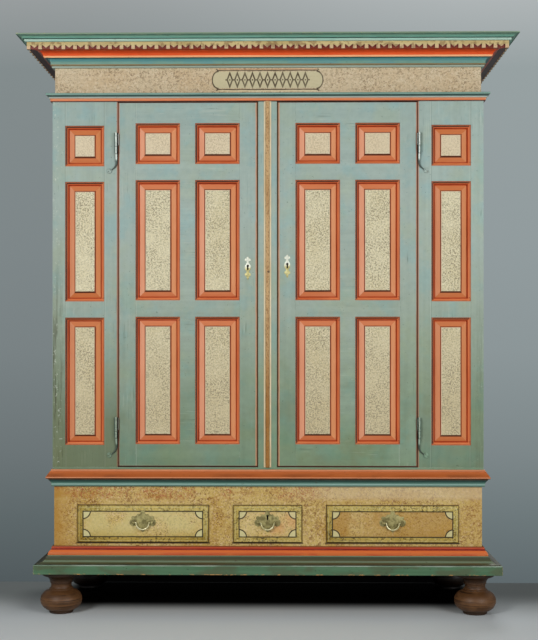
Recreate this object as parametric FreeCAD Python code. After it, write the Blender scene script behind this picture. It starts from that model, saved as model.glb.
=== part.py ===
"""Kas cupboard: a two-door clothes cupboard with drawers below, a deep cornice and bun feet.

Millimetres, +Z up, +X to the viewer's right, the front faces -Y. The origin is on the floor,
under the middle of the cupboard's bounding box.
"""

import FreeCAD, Part
import math
import os
from collections import namedtuple

V = FreeCAD.Vector
Bend = namedtuple("Bend", "via end")  # an arc from the last point, through via, to end

# ---------------------------------------------------------------- driving dimensions
HALF_WIDTH = 797.0        # from the middle to the outside of the case
CORNICE_OUT = 112.0       # how far the cornice stands out from the case
CASE_DEPTH = 570.0
BACK = (CASE_DEPTH + CORNICE_OUT) / 2
FRONT = BACK - CASE_DEPTH
TOP = 2124.0

FOOT_HEIGHT = 155.0
FOOT_X = 770.0
FOOT_SETBACK = 30.0
FOOT_TENON_RADIUS = 19.0

BASE_TOP = 252.0          # top of the base moulding
BASE_BOARD = 30.0
DRAWER_CASE_TOP = 472.0
DRAWER_CASE_SETBACK = 5.0
WAIST_TOP = 535.0
SILL_TOP = 543.0
HEAD_BOTTOM = 1896.0
CASE_TOP = 1929.0
FRIEZE_SETBACK = 8.0
FRIEZE_TOP = 2100.0

BOARD = 20.0              # thickness of plain case boards
FRAME_T = 28.0            # thickness of every panelled frame
BACK_BOARD = 15.0
RAIL_DEPTH = 44.0         # depth of the sill and head rails

# panelled work, measured from an opening's edge at the face
QUIRK_DEPTH = 2.0
OVOLO_LAND = 1.5
OVOLO_RADIUS = 11.0
SIGHT = OVOLO_LAND + OVOLO_RADIUS
GROOVE_FRONT = 15.0
GROOVE_BACK = 21.0
GROOVE_DEEP = 9.0
TONGUE = 8.0
BEVEL = 21.0
BEVEL_RISE = 5.5
FIELD_STEP = 4.5          # height and width of the slope round the field
TENON_LENGTH = 45.0
TENON_SHOULDER = 10.0
TENON_FRONT = 10.0
TENON_BACK = 19.0

# fronts
CENTRE_STILE_HALF = 34.5
BEAD_RADIUS = 10.0
DOOR_INNER = 36.5
DOOR_OUTER = 552.0
DOOR_LOW = 546.0
DOOR_HIGH = 1893.0
DOOR_COLUMNS = [(103.0, 268.0), (324.0, 489.0)]
DOOR_ROWS = [(628.0, 1100.0), (1160.5, 1606.0), (1665.0, 1816.5)]
FIXED_INNER = 555.0
FIXED_COLUMNS = [(605.0, 750.0)]
FIXED_ROWS = [(625.0, 1097.0), (1156.5, 1600.0), (1657.0, 1808.0)]
END_STILE = 74.0
END_MUNTIN = 62.0

# rat-tail hinges
HINGE_X = 559.5
HINGE_OUT = 8.0           # axis in front of the case's face
BARREL_RADIUS = 7.0
PIN_RADIUS = 4.0
PIN_CLEARANCE = 0.05
KNUCKLE = 44.0
PINTLE_COLLAR = 24.0
HINGE_Z = [681.0, 1733.0]  # where each knuckle rests on its pintle
LEAF_T = 3.0
LEAF_DEPTH = 24.0
LEAF_LET_IN = 1.0         # how deep the leaf lies in the door's edge
TAIL_RADIUS = 3.4
TAIL_STRAIGHT = 38.0      # from the collar down to where the tail turns outwards
TAIL_BEND = 28.0
TAIL_TURN = 50.0          # degrees
TAIL_RUN = 14.0

# door locks
KEYHOLE_X = 73.0
KEYHOLE_Z = {"left": 1282.0, "right": 1289.5}
KEYHOLE_EYE = 4.4         # radius of the round part
KEYHOLE_SLOT = 2.8        # half-width of the slot
KEYHOLE_RISE = 5.0
KEYHOLE_DROP = 10.0
LOCK_T = 18.0
LOCK_WALL = 2.0

# drawers
LIP_LOW = 264.0
LIP_HIGH = 402.0
LIP_OVERLAP = 8.0
LIP_T = 10.0
DRAWER_LIPS = {"left": (-705.0, -218.0), "centre": (-127.0, 127.0), "right": (218.0, 705.0)}
DRAWER_CLEARANCE = 1.6
DRAWER_SIDE = 12.0
DRAWER_BACK = 470.0       # from the drawer case's face to the back of the drawer
DIVIDER_X = 172.0
DIVIDER_T = 18.0
PULL_Z = 340.0
POST_X = 34.0
PLATE_T = 1.6

EPS = 1.0                 # how far a cutter runs past the piece it cuts


# ---------------------------------------------------------------- general shapes
def block(x0, x1, y0, y1, z0, z1):
    """Rectangular piece between two corners."""
    return Part.makeBox(x1 - x0, y1 - y0, z1 - z0, V(x0, y0, z0))


def rod(radius, length, start, direction):
    """Round bar from a start point."""
    return Part.makeCylinder(radius, length, start, direction)


def mirrored(shape):
    """The same piece on the other side of the cupboard."""
    return shape.mirror(V(0, 0, 0), V(1, 0, 0))


def both_sides(pieces):
    """Each piece together with its mirror image."""
    return pieces + [mirrored(piece) for piece in pieces]


def end_of(step):
    """Where a step of an outline ends."""
    return step.end if isinstance(step, Bend) else step


def outline_face(steps, place):
    """Flat face inside a closed outline of points and Bends, each placed in space by place."""
    edges = []
    here = steps[0]
    closing = [] if end_of(steps[-1]) == steps[0] else [steps[0]]
    for step in steps[1:] + closing:
        end = end_of(step)
        if isinstance(step, Bend):
            edges.append(Part.Arc(place(*here), place(*step.via), place(*end)).toShape())
        else:
            edges.append(Part.makeLine(place(*here), place(*end)))
        here = end
    return Part.Face(Part.Wire(edges))


def plate(steps, face_y, thickness):
    """Flat plate with an X-Z outline, its front on face_y and its thickness to the back."""
    face = outline_face(steps, lambda x, z: V(x, face_y, z))
    return face.extrude(V(0, thickness, 0))


def symmetric(right_half):
    """Closed outline from its right half, which starts and ends on the middle line."""
    left = []
    for before, step in reversed(list(zip(right_half, right_half[1:]))):
        x, z = end_of(before)
        if isinstance(step, Bend):
            left.append(Bend((-step.via[0], step.via[1]), (-x, z)))
        else:
            left.append((-x, z))
    return right_half + left


def save(node, pieces):
    """Write one node's pieces to its STEP file."""
    shape = pieces[0] if len(pieces) == 1 else Part.makeCompound(pieces)
    shape.exportStep("parts/" + node + ".step")


# ---------------------------------------------------------------- mouldings
def corner_wedge(corners):
    """Upright prism over an X-Y outline, taller than the cupboard."""
    points = [V(x, y, -EPS) for x, y in corners + corners[:1]]
    return Part.Face(Part.makePolygon(points)).extrude(V(0, 0, TOP + 2 * EPS))


MITRE_IN = 60.0
MITRE_OUT = CORNICE_OUT + 2 * EPS


def front_zone():
    """Space in front of both corner mitres."""
    inside = HALF_WIDTH - MITRE_IN
    outside = HALF_WIDTH + MITRE_OUT
    return corner_wedge([
        (-inside, FRONT + MITRE_IN),
        (inside, FRONT + MITRE_IN),
        (outside, FRONT - MITRE_OUT),
        (-outside, FRONT - MITRE_OUT),
    ])


def side_zone():
    """Space beside the right-hand corner mitre."""
    inside = HALF_WIDTH - MITRE_IN
    outside = HALF_WIDTH + MITRE_OUT
    return corner_wedge([
        (inside, FRONT + MITRE_IN),
        (outside, FRONT - MITRE_OUT),
        (outside, BACK),
        (inside, BACK),
    ])


def moulding_runs(profile):
    """Front run and two returns of a moulding, whose profile is (stand-out, height) points."""
    reach = HALF_WIDTH + MITRE_OUT
    front = outline_face(profile, lambda out, z: V(-reach, FRONT - out, z))
    front = front.extrude(V(2 * reach, 0, 0)).common(front_zone())
    side = outline_face(profile, lambda out, z: V(HALF_WIDTH + out, FRONT - MITRE_OUT, z))
    side = side.extrude(V(0, CASE_DEPTH + MITRE_OUT, 0)).common(side_zone())
    return [front] + both_sides([side])


def base_moulding():
    """Plinth moulding: upright band, cove, then an ovolo under a small fillet."""
    return moulding_runs([
        (0, FOOT_HEIGHT),
        (58, FOOT_HEIGHT),
        (60, FOOT_HEIGHT + 2),
        (60, 187),
        Bend((59.2, 189.4), (57, 190)),
        (55, 190),
        (55, 193),
        Bend((31, 198), (18.5, 215)),
        (15.5, 215),
        (15.5, 219),
        Bend((12.5, 230), (6, 237)),
        (6, 240),
        (3.5, 240),
        (3.5, 243),
        Bend((2.4, 249), (0, BASE_TOP)),
    ])


def waist_moulding():
    """Moulding between drawers and doors: cove below, slope with an ogee foot above."""
    return moulding_runs([
        (0, DRAWER_CASE_TOP),
        (4, DRAWER_CASE_TOP),
        (4, 476),
        Bend((6.4, 488), (14, 497)),
        (14, 500),
        (20, 502),
        Bend((22.6, 505), (22, 508)),
        Bend((17.5, 515), (9, 526)),
        (9, 529),
        (5, 530),
        (5, WAIST_TOP),
        (0, WAIST_TOP),
    ])


def architrave_moulding():
    """Moulding over the doors: fillet, cove and bead."""
    return moulding_runs([
        (0, HEAD_BOTTOM),
        (7, HEAD_BOTTOM),
        (7, 1904),
        (10, 1907),
        (12, 1907),
        Bend((13.6, 1912.5), (18, 1916)),
        (18, 1918),
        (20.5, 1918),
        Bend((22.4, 1921.5), (20.5, 1925)),
        (0, CASE_TOP),
    ])


def bed_moulding():
    """Lower member of the cornice: bead, steep cove and a wide cove under the fascia."""
    wall = -FRIEZE_SETBACK
    return moulding_runs([
        (wall, 2022),
        (wall + 6, 2022),
        Bend((wall + 11, 2025.5), (wall + 9, 2029)),
        (6, 2030),
        (6, 2034),
        Bend((7.6, 2045), (14.7, 2053)),
        (26, 2054),
        (29, 2060),
        Bend((34.5, 2069.5), (48, 2075)),
        (wall, 2075),
    ])


FASCIA_OUT = 73.0
DENTIL_T = 6.0
DENTIL_TOP = 2099.0


def cornice_moulding():
    """Upper member of the cornice: soffit, fascia for the dentils and a crown cyma."""
    return moulding_runs([
        (16, 2075),
        (FASCIA_OUT, 2075),
        (FASCIA_OUT, DENTIL_TOP),
        (82, DENTIL_TOP),
        Bend((87, 2102.5), (87, 2107)),
        (93, 2109),
        Bend((97, 2115), (106, 2117)),
        (108, 2117),
        (108, 2119),
        (CORNICE_OUT, 2119),
        (CORNICE_OUT, TOP),
        (68, TOP),
        (16, 2090),
    ])


DENTIL_BLOCK = 13.0
DENTIL_PERIOD = 42.8
DENTIL_VEE = 25.0
DENTIL_BAND = 11.0
DENTIL_LOW = 2073.0
DENTIL_TIP = 2078.0


def dentil_outline(start, end):
    """Cut-out strip between two ends: square drops with a downward point between each pair."""
    count = round((end - start - DENTIL_BLOCK) / DENTIL_PERIOD)
    period = (end - start - DENTIL_BLOCK) / count
    root = DENTIL_TOP - DENTIL_BAND
    points = [(start, DENTIL_TOP), (start, DENTIL_LOW)]
    for index in range(count):
        drop_end = start + index * period + DENTIL_BLOCK
        middle = drop_end + (period - DENTIL_BLOCK) / 2
        points.append((drop_end, DENTIL_LOW))
        points.append((drop_end, root))
        points.append((middle - DENTIL_VEE / 2, root))
        points.append((middle, DENTIL_TIP))
        points.append((middle + DENTIL_VEE / 2, root))
        points.append((drop_end + period - DENTIL_BLOCK, root))
        points.append((drop_end + period - DENTIL_BLOCK, DENTIL_LOW))
    points.append((end, DENTIL_LOW))
    points.append((end, DENTIL_TOP))
    return points


def dentil_strip():
    """Dentil strip on the fascia: one across the front and one down each side."""
    out = FASCIA_OUT + DENTIL_T
    front_end = HALF_WIDTH + out
    front = outline_face(
        dentil_outline(-front_end, front_end), lambda x, z: V(x, FRONT - out, z)
    ).extrude(V(0, DENTIL_T, 0))
    side = outline_face(
        dentil_outline(FRONT - FASCIA_OUT, BACK),
        lambda y, z: V(HALF_WIDTH + FASCIA_OUT, y, z),
    ).extrude(V(DENTIL_T, 0, 0))
    return [front] + both_sides([side])


# ---------------------------------------------------------------- panelled frames
def sight(opening):
    """The part of an opening, along one direction, that is left inside its ovolo."""
    return opening[0] + SIGHT, opening[1] - SIGHT


def opening_cutter(column, row):
    """What is cut for one panel: a shallow quirk and the sight opening."""
    left, right = sight(column)
    low, high = sight(row)
    quirk = block(column[0], column[1], -EPS, QUIRK_DEPTH, row[0], row[1])
    return quirk.fuse(block(left, right, -EPS, FRAME_T + EPS, low, high))


def groove_cutter(column, row):
    """Groove round a sight opening for the panel's tongue."""
    left, right = sight(column)
    low, high = sight(row)
    return block(left - GROOVE_DEEP, right + GROOVE_DEEP, GROOVE_FRONT, GROOVE_BACK,
                 low - GROOVE_DEEP, high + GROOVE_DEEP)


def sight_edges(shape, column, row):
    """Front edges of a sight opening, which get the ovolo."""
    left, right = sight(column)
    low, high = sight(row)

    def is_sight_edge(edge):
        box = edge.BoundBox
        flat = abs(box.YMin - QUIRK_DEPTH) < 0.01 and abs(box.YMax - QUIRK_DEPTH) < 0.01
        upright = box.XLength < 0.01 and min(abs(box.XMin - left), abs(box.XMin - right)) < 0.01
        level = box.ZLength < 0.01 and min(abs(box.ZMin - low), abs(box.ZMin - high)) < 0.01
        inside = (box.XMin > column[0] and box.XMax < column[1]
                  and box.ZMin > row[0] and box.ZMax < row[1])
        return flat and inside and (upright or level)

    return [edge for edge in shape.Edges if is_sight_edge(edge)]


def raised_panel(column, row):
    """Panel with a tongue all round, a sloping bevel and a raised, flat field."""
    left, right = sight(column)
    low, high = sight(row)
    tongue = block(left - TONGUE, right + TONGUE, GROOVE_FRONT, GROOVE_BACK,
                   low - TONGUE, high + TONGUE)
    bevel_front = GROOVE_FRONT - BEVEL_RISE
    bevel = Part.makeWedge(left + BEVEL, bevel_front, low + BEVEL, low, left,
                           right - BEVEL, GROOVE_FRONT, high - BEVEL, high, right)
    margin = BEVEL + FIELD_STEP
    field = Part.makeWedge(left + margin, bevel_front - FIELD_STEP, low + margin,
                           low + BEVEL, left + BEVEL,
                           right - margin, bevel_front, high - margin,
                           high - BEVEL, right - BEVEL)
    return tongue.fuse(bevel).fuse(field).removeSplitter()


def panelled_work(x0, x1, z0, z1, columns, rows):
    """Frame and panels between two corners, front on y = 0: (stiles, rails and muntins, panels)."""
    board = block(x0, x1, 0, FRAME_T, z0, z1)
    openings = [(column, row) for column in columns for row in rows]
    for column, row in openings:
        board = board.cut(opening_cutter(column, row))
    edges = []
    for column, row in openings:
        edges = edges + sight_edges(board, column, row)
    board = board.makeFillet(OVOLO_RADIUS, edges)
    for column, row in openings:
        board = board.cut(groove_cutter(column, row))

    inner_x0 = columns[0][0]
    inner_x1 = columns[-1][1]
    levels = [z0] + [z for row in rows for z in sight(row)] + [z1]
    rail_spans = list(zip(levels[0::2], levels[1::2]))
    rails = []
    stile_zones = [block(x0, inner_x0, 0, FRAME_T, z0, z1), block(inner_x1, x1, 0, FRAME_T, z0, z1)]
    tenons = []
    for low, high in rail_spans:
        rail = board.common(block(inner_x0, inner_x1, 0, FRAME_T, low, high))
        solid_low = low + TENON_SHOULDER + (0 if low == z0 else SIGHT)
        solid_high = high - TENON_SHOULDER - (0 if high == z1 else SIGHT)
        length = min(TENON_LENGTH, inner_x0 - x0 - TENON_SHOULDER, x1 - inner_x1 - TENON_SHOULDER)
        for start, end in ((inner_x0 - length, inner_x0), (inner_x1, inner_x1 + length)):
            tenon = block(start, end, TENON_FRONT, TENON_BACK, solid_low, solid_high)
            tenons.append(tenon)
            rail = rail.fuse(tenon)
        rails.append(rail.removeSplitter())

    muntins = []
    for row in rows:
        low, high = sight(row)
        stile_zones.append(block(inner_x0, sight(columns[0])[0], 0, FRAME_T, low, high))
        stile_zones.append(block(sight(columns[-1])[1], inner_x1, 0, FRAME_T, low, high))
        for before, after in zip(columns, columns[1:]):
            zone = block(sight(before)[1], sight(after)[0], 0, FRAME_T, low, high)
            muntins.append(board.common(zone))

    all_tenons = tenons[0].multiFuse(tenons[1:])
    stiles = []
    for zones in (stile_zones[0::2], stile_zones[1::2]):
        zone = zones[0].multiFuse(zones[1:])
        stiles.append(board.common(zone).cut(all_tenons).removeSplitter())
    panels = [raised_panel(column, row) for column, row in openings]
    return stiles, rails + muntins, panels


def on_front(pieces):
    """Panelled work moved back to the case's front plane."""
    return [piece.translated(V(0, FRONT, 0)) for piece in pieces]


def on_right_end(pieces):
    """Panelled work turned so that its front looks along +X from the case's right end."""
    turned = []
    for piece in pieces:
        moved = piece.copy()
        moved.rotate(V(0, 0, 0), V(0, 0, 1), 90)
        moved.translate(V(HALF_WIDTH, 0, 0))
        turned.append(moved)
    return turned


# ---------------------------------------------------------------- feet and base
def bun_foot(x, y):
    """Turned bun foot with a flared collar and a tenon that goes up into the base board."""
    steps = [
        (0, 0),
        (43, 0),
        (44.5, 2),
        (44.5, 9),
        (49, 12),
        Bend((77, 49), (48, 84)),
        (44, 87),
        (44, 90),
        (39.5, 93),
        Bend((38, 100), (38.5, 110)),
        (41.5, 112),
        (41.5, 116),
        Bend((47.5, 129), (64, 138)),
        Bend((70.5, 142), (72, 150)),
        (72, FOOT_HEIGHT),
        (FOOT_TENON_RADIUS, FOOT_HEIGHT),
        (FOOT_TENON_RADIUS, FOOT_HEIGHT + BASE_BOARD),
        (0, FOOT_HEIGHT + BASE_BOARD),
    ]
    section = outline_face(steps, lambda radius, z: V(radius, 0, z))
    return section.revolve(V(0, 0, 0), V(0, 0, 1), 360).translated(V(x, y, 0))


def foot_places():
    """Node name and centre of each foot."""
    front_y = FRONT + FOOT_SETBACK
    back_y = BACK - 80
    return {
        "foot_front_left": (-FOOT_X, front_y),
        "foot_front_right": (FOOT_X, front_y),
        "foot_back_left": (-FOOT_X + 30, back_y),
        "foot_back_right": (FOOT_X - 30, back_y),
    }


def base_board():
    """Bottom board that the feet are tenoned into."""
    board = block(-HALF_WIDTH, HALF_WIDTH, FRONT, BACK, FOOT_HEIGHT, FOOT_HEIGHT + BASE_BOARD)
    for x, y in foot_places().values():
        hole = rod(FOOT_TENON_RADIUS, BASE_BOARD + 2 * EPS, V(x, y, FOOT_HEIGHT - EPS), V(0, 0, 1))
        board = board.cut(hole)
    return board


# ---------------------------------------------------------------- drawer case
DRAWER_FACE = FRONT + DRAWER_CASE_SETBACK
DRAWER_CASE_HALF = HALF_WIDTH - DRAWER_CASE_SETBACK
FACE_T = 22.0
CASE_LOW = FOOT_HEIGHT + BASE_BOARD
OPENING_LOW = LIP_LOW + LIP_OVERLAP
OPENING_HIGH = LIP_HIGH - LIP_OVERLAP


def drawer_face_frame():
    """Rails over and under the drawers, and the posts between them."""
    back = DRAWER_FACE + FACE_T
    low = block(-DRAWER_CASE_HALF, DRAWER_CASE_HALF, DRAWER_FACE, back, CASE_LOW, OPENING_LOW)
    high = block(-DRAWER_CASE_HALF, DRAWER_CASE_HALF, DRAWER_FACE, back,
                 OPENING_HIGH, DRAWER_CASE_TOP)
    inner = (DRAWER_LIPS["centre"][1] - LIP_OVERLAP, DRAWER_LIPS["right"][0] + LIP_OVERLAP)
    outer = (DRAWER_LIPS["right"][1] - LIP_OVERLAP, DRAWER_CASE_HALF)
    posts = [block(x0, x1, DRAWER_FACE, back, OPENING_LOW, OPENING_HIGH) for x0, x1 in (inner, outer)]
    return [low, high] + both_sides(posts)


def drawer_case_ends():
    """End boards of the drawer case."""
    return both_sides([block(DRAWER_CASE_HALF - BOARD, DRAWER_CASE_HALF, DRAWER_FACE + FACE_T, BACK,
                             CASE_LOW, DRAWER_CASE_TOP)])


def drawer_guides():
    """Dividers between the drawers, with the runners and side guides."""
    front = DRAWER_FACE + FACE_T
    back = BACK - BACK_BOARD
    runner_top = OPENING_LOW
    runner_low = runner_top - 22
    guide_top = runner_top + 30
    near = DIVIDER_X - DIVIDER_T / 2
    far = DIVIDER_X + DIVIDER_T / 2
    end = DRAWER_CASE_HALF - BOARD
    centre_edge = DRAWER_LIPS["centre"][1] - LIP_OVERLAP
    side_inner = DRAWER_LIPS["right"][0] + LIP_OVERLAP
    side_outer = DRAWER_LIPS["right"][1] - LIP_OVERLAP
    pieces = [block(near, far, front, back, CASE_LOW, DRAWER_CASE_TOP)]
    for x0, x1, guide_x0, guide_x1 in (
        (centre_edge - 18, near, centre_edge, near),
        (far, side_inner + 18, far, side_inner),
        (side_outer - 18, end, side_outer, end),
    ):
        pieces.append(block(x0, x1, front, back, runner_low, runner_top))
        pieces.append(block(guide_x0, guide_x1, front, back, runner_top, guide_top))
    return both_sides(pieces)


# ---------------------------------------------------------------- wardrobe case
INSIDE = HALF_WIDTH - FRAME_T
STOP_HEIGHT = 15.0
FLOOR_T = 28.0


def front_rails():
    """Sill and head rail across the front, with a door stop strip on each."""
    back = FRONT + RAIL_DEPTH
    sill = block(-HALF_WIDTH, HALF_WIDTH, FRONT, back - 16, DRAWER_CASE_TOP, SILL_TOP)
    head = block(-HALF_WIDTH, HALF_WIDTH, FRONT, back - 16, HEAD_BOTTOM, CASE_TOP)
    sill_stop = block(45, DOOR_OUTER - 7, FRONT + FRAME_T + 0.5, back, SILL_TOP - 30,
                      SILL_TOP + STOP_HEIGHT)
    head_stop = block(45, DOOR_OUTER - 7, FRONT + FRAME_T + 0.5, back, HEAD_BOTTOM - STOP_HEIGHT,
                      HEAD_BOTTOM + 9)
    return [sill, head] + both_sides([sill_stop, head_stop])


def case_floor():
    """Floor board of the wardrobe."""
    return block(-INSIDE, INSIDE, FRONT + RAIL_DEPTH, BACK - BACK_BOARD,
                 SILL_TOP - 2 - FLOOR_T, SILL_TOP - 2)


def top_boards():
    """Board over the wardrobe and the board that closes the cornice."""
    case_top = block(-INSIDE, INSIDE, FRONT + RAIL_DEPTH, BACK - BACK_BOARD,
                     CASE_TOP - 24, CASE_TOP)
    overhang = 14.0
    lid = block(-HALF_WIDTH - overhang, HALF_WIDTH + overhang, FRONT - overhang, BACK,
                FRIEZE_TOP, FRIEZE_TOP + 14)
    return [case_top, lid]


def end_work():
    """Right-hand panelled end, as stiles, rails with muntins, and panels."""
    y0 = FRONT + FRAME_T
    first = y0 + END_STILE - FRAME_T
    middle = (first + BACK - END_STILE) / 2
    columns = [(first, middle - END_MUNTIN / 2), (middle + END_MUNTIN / 2, BACK - END_STILE)]
    return panelled_work(y0, BACK, DRAWER_CASE_TOP, CASE_TOP, columns, FIXED_ROWS)


def back_boards():
    """Upright boards over the back and one level board behind the drawers."""
    count = 6
    width = 2 * INSIDE / count
    y0 = BACK - BACK_BOARD
    boards = []
    for index in range(count):
        x0 = -INSIDE + index * width
        boards.append(block(x0, x0 + width - 1, y0, BACK, DRAWER_CASE_TOP, CASE_TOP))
    half = DRAWER_CASE_HALF - BOARD
    boards.append(block(-half, half, y0, BACK, CASE_LOW, DRAWER_CASE_TOP - 1))
    return boards


def centre_stile():
    """Fixed stile that both doors close against."""
    return block(-CENTRE_STILE_HALF, CENTRE_STILE_HALF, FRONT, FRONT + FRAME_T,
                 SILL_TOP, HEAD_BOTTOM)


def centre_bead():
    """Half-round bead between two small fillets, planted on the centre stile."""
    fillet = BEAD_RADIUS + 3.5
    face = outline_face(
        [(-fillet, 0), (-fillet, -2), (-BEAD_RADIUS, -2), Bend((0, -BEAD_RADIUS), (BEAD_RADIUS, -2)),
         (fillet, -2), (fillet, 0)],
        lambda x, y: V(x, FRONT + y, SILL_TOP),
    )
    return face.extrude(V(0, 0, HEAD_BOTTOM - SILL_TOP))


FLOOR_TOP = SILL_TOP - 2
CEILING = CASE_TOP - 24
PARTITION_T = 18.0
INTERIOR_BACK = BACK - BACK_BOARD
SHELF_FRONT = FRONT + 66
SHELF_LEVELS = [860.0, 1180.0, 1500.0]


def centre_partition():
    """Upright board between the hanging side and the shelves."""
    half = PARTITION_T / 2
    tall = block(-half, half, FRONT + RAIL_DEPTH, INTERIOR_BACK, FLOOR_TOP, CEILING)
    nose = block(-half, half, FRONT + FRAME_T, FRONT + RAIL_DEPTH, SILL_TOP, HEAD_BOTTOM)
    return tall.fuse(nose).removeSplitter()


def shelves():
    """Three shelves in the right-hand side."""
    return [block(PARTITION_T / 2, INSIDE, SHELF_FRONT, INTERIOR_BACK, z, z + BOARD)
            for z in SHELF_LEVELS]


def shelf_cleats():
    """A cleat under each end of each shelf."""
    pieces = []
    for z in SHELF_LEVELS:
        for x0 in (PARTITION_T / 2, INSIDE - 20):
            pieces.append(block(x0, x0 + 20, SHELF_FRONT + 10, INTERIOR_BACK, z - 30, z))
    return pieces


PEG_LEVEL = 1730.0
PEG_RAIL_T = 22.0


def peg_rail():
    """Rail on the back of the hanging side with seven turned pegs."""
    rail = block(-INSIDE, -PARTITION_T / 2, INTERIOR_BACK - PEG_RAIL_T, INTERIOR_BACK,
                 PEG_LEVEL - 35, PEG_LEVEL + 35)
    section = outline_face(
        [(0, 0), (8, 0), (8, 16), (9.5, 22), (7, 72), (9, 76),
         Bend((12.5, 84), (9, 92)), (0, 94)],
        lambda radius, along: V(radius, 0, along),
    )
    peg = section.revolve(V(0, 0, 0), V(0, 0, 1), 360)
    count = 7
    pitch = (INSIDE - PARTITION_T / 2) / count
    pegs = []
    for index in range(count):
        x = -INSIDE + (index + 0.5) * pitch
        placed = peg.copy()
        placed.rotate(V(0, 0, 0), V(1, 0, 0), 90 - 8)
        placed.translate(V(x, INTERIOR_BACK - PEG_RAIL_T + 14, PEG_LEVEL))
        rail = rail.cut(placed)
        pegs.append(placed)
    return [rail] + pegs


def frieze_boards():
    """Frieze: front board, two side boards and a plain board behind."""
    front = FRONT + FRIEZE_SETBACK
    half = HALF_WIDTH - FRIEZE_SETBACK
    face = block(-half, half, front, front + BOARD, CASE_TOP, FRIEZE_TOP)
    side = block(half - BOARD, half, front + BOARD, BACK, CASE_TOP, FRIEZE_TOP)
    rear = block(-half + BOARD, half - BOARD, BACK - BOARD, BACK, CASE_TOP, FRIEZE_TOP)
    return [face, rear] + both_sides([side])


# ---------------------------------------------------------------- hinges
HINGE_Y = FRONT - HINGE_OUT


def leaf_finial(x, z):
    """Leaf-shaped end of a rat tail, flat on the face, spread outwards from the tail's end."""
    steps = [
        (x, z),
        Bend((x + 3, z + 8), (x + 10, z + 8.5)),
        Bend((x + 16, z + 5), (x + 16, z - 3)),
        Bend((x + 13, z - 10), (x + 6, z - 10)),
        Bend((x, z - 7), (x - 2, z - 3)),
    ]
    return plate(steps, FRONT - 3, 3)


def pintle(z):
    """Right-hand rat-tail pintle whose knuckle rests at z: collar, pin, tail and leaf."""
    collar_low = z - PINTLE_COLLAR
    body = rod(BARREL_RADIUS - 0.4, PINTLE_COLLAR, V(HINGE_X, HINGE_Y, collar_low), V(0, 0, 1))
    ring = rod(BARREL_RADIUS, 4, V(HINGE_X, HINGE_Y, z - 4), V(0, 0, 1))
    pin = rod(PIN_RADIUS, KNUCKLE - 6, V(HINGE_X, HINGE_Y, z), V(0, 0, 1))
    neck = Part.makeCone(TAIL_RADIUS, BARREL_RADIUS - 0.4, 8,
                         V(HINGE_X, HINGE_Y, collar_low - 8), V(0, 0, 1))
    tail_y = FRONT - TAIL_RADIUS
    turn = math.radians(TAIL_TURN)
    lean = V(HINGE_X, tail_y, collar_low - TAIL_STRAIGHT)
    elbow = lean + V(TAIL_BEND, 0, 0)
    mid = elbow - V(TAIL_BEND * math.cos(turn / 2), 0, TAIL_BEND * math.sin(turn / 2))
    after = elbow - V(TAIL_BEND * math.cos(turn), 0, TAIL_BEND * math.sin(turn))
    tip = after + V(TAIL_RUN * math.sin(turn), 0, -TAIL_RUN * math.cos(turn))
    top = V(HINGE_X, HINGE_Y, collar_low - 5)
    path = Part.Wire([
        Part.makeLine(top, lean),
        Part.Arc(lean, mid, after).toShape(),
        Part.makeLine(after, tip),
    ])
    section = Part.Wire(Part.makeCircle(TAIL_RADIUS, top, lean - top))
    tail = path.makePipeShell([section], True, False)
    leaf = leaf_finial(tip.x - 2, tip.z)
    return body.multiFuse([ring, pin, neck, tail, leaf]).removeSplitter()


def knuckle_leaf(z):
    """Right-hand knuckle on its pintle, with a leaf let into the door's edge."""
    outer = rod(BARREL_RADIUS, KNUCKLE, V(HINGE_X, HINGE_Y, z + 0.2), V(0, 0, 1))
    cap = Part.makeCone(BARREL_RADIUS, 4, 4, V(HINGE_X, HINGE_Y, z + 0.2 + KNUCKLE), V(0, 0, 1))
    leaf_x = DOOR_OUTER - LEAF_LET_IN
    leaf = block(leaf_x, leaf_x + LEAF_T, HINGE_Y, FRONT + LEAF_DEPTH,
                 z + 0.2, z + 0.2 + KNUCKLE)
    bore = rod(PIN_RADIUS + PIN_CLEARANCE, KNUCKLE - 4, V(HINGE_X, HINGE_Y, z), V(0, 0, 1))
    return outer.fuse(cap).fuse(leaf).cut(bore).removeSplitter()


# ---------------------------------------------------------------- doors
def keyhole(x, z, y0, y1):
    """Keyhole-shaped cutter: round above, slot below."""
    eye = rod(KEYHOLE_EYE, y1 - y0, V(x, y0, z + KEYHOLE_RISE), V(0, 1, 0))
    return eye.fuse(block(x - KEYHOLE_SLOT, x + KEYHOLE_SLOT, y0, y1,
                          z - KEYHOLE_DROP, z + KEYHOLE_RISE))


def door_work(lock_z):
    """Right-hand door frame and panels, with hinge mortises and a keyhole cut."""
    stiles, rails, panels = panelled_work(DOOR_INNER, DOOR_OUTER, DOOR_LOW, DOOR_HIGH,
                                          DOOR_COLUMNS, DOOR_ROWS)
    lock_stile, hinge_stile = on_front(stiles)
    for z in HINGE_Z:
        mortise = block(DOOR_OUTER - LEAF_LET_IN, DOOR_OUTER + EPS, FRONT - EPS, FRONT + LEAF_DEPTH,
                        z + 0.2, z + 0.2 + KNUCKLE)
        hinge_stile = hinge_stile.cut(mortise)
    lock_stile = lock_stile.cut(keyhole(KEYHOLE_X, lock_z, FRONT - EPS, FRONT + FRAME_T + EPS))
    return [lock_stile, hinge_stile], on_front(rails), on_front(panels)


LOCK_X0 = 39.5
LOCK_X1 = 108.0
BOLT_HALF = 7.0
BOLT_FRONT = FRONT + FRAME_T + 4.5
BOLT_T = 8.0
BOLT_GAP = 0.4
BOLT_RISE = 22.0          # bolt's middle above the keyhole


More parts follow.
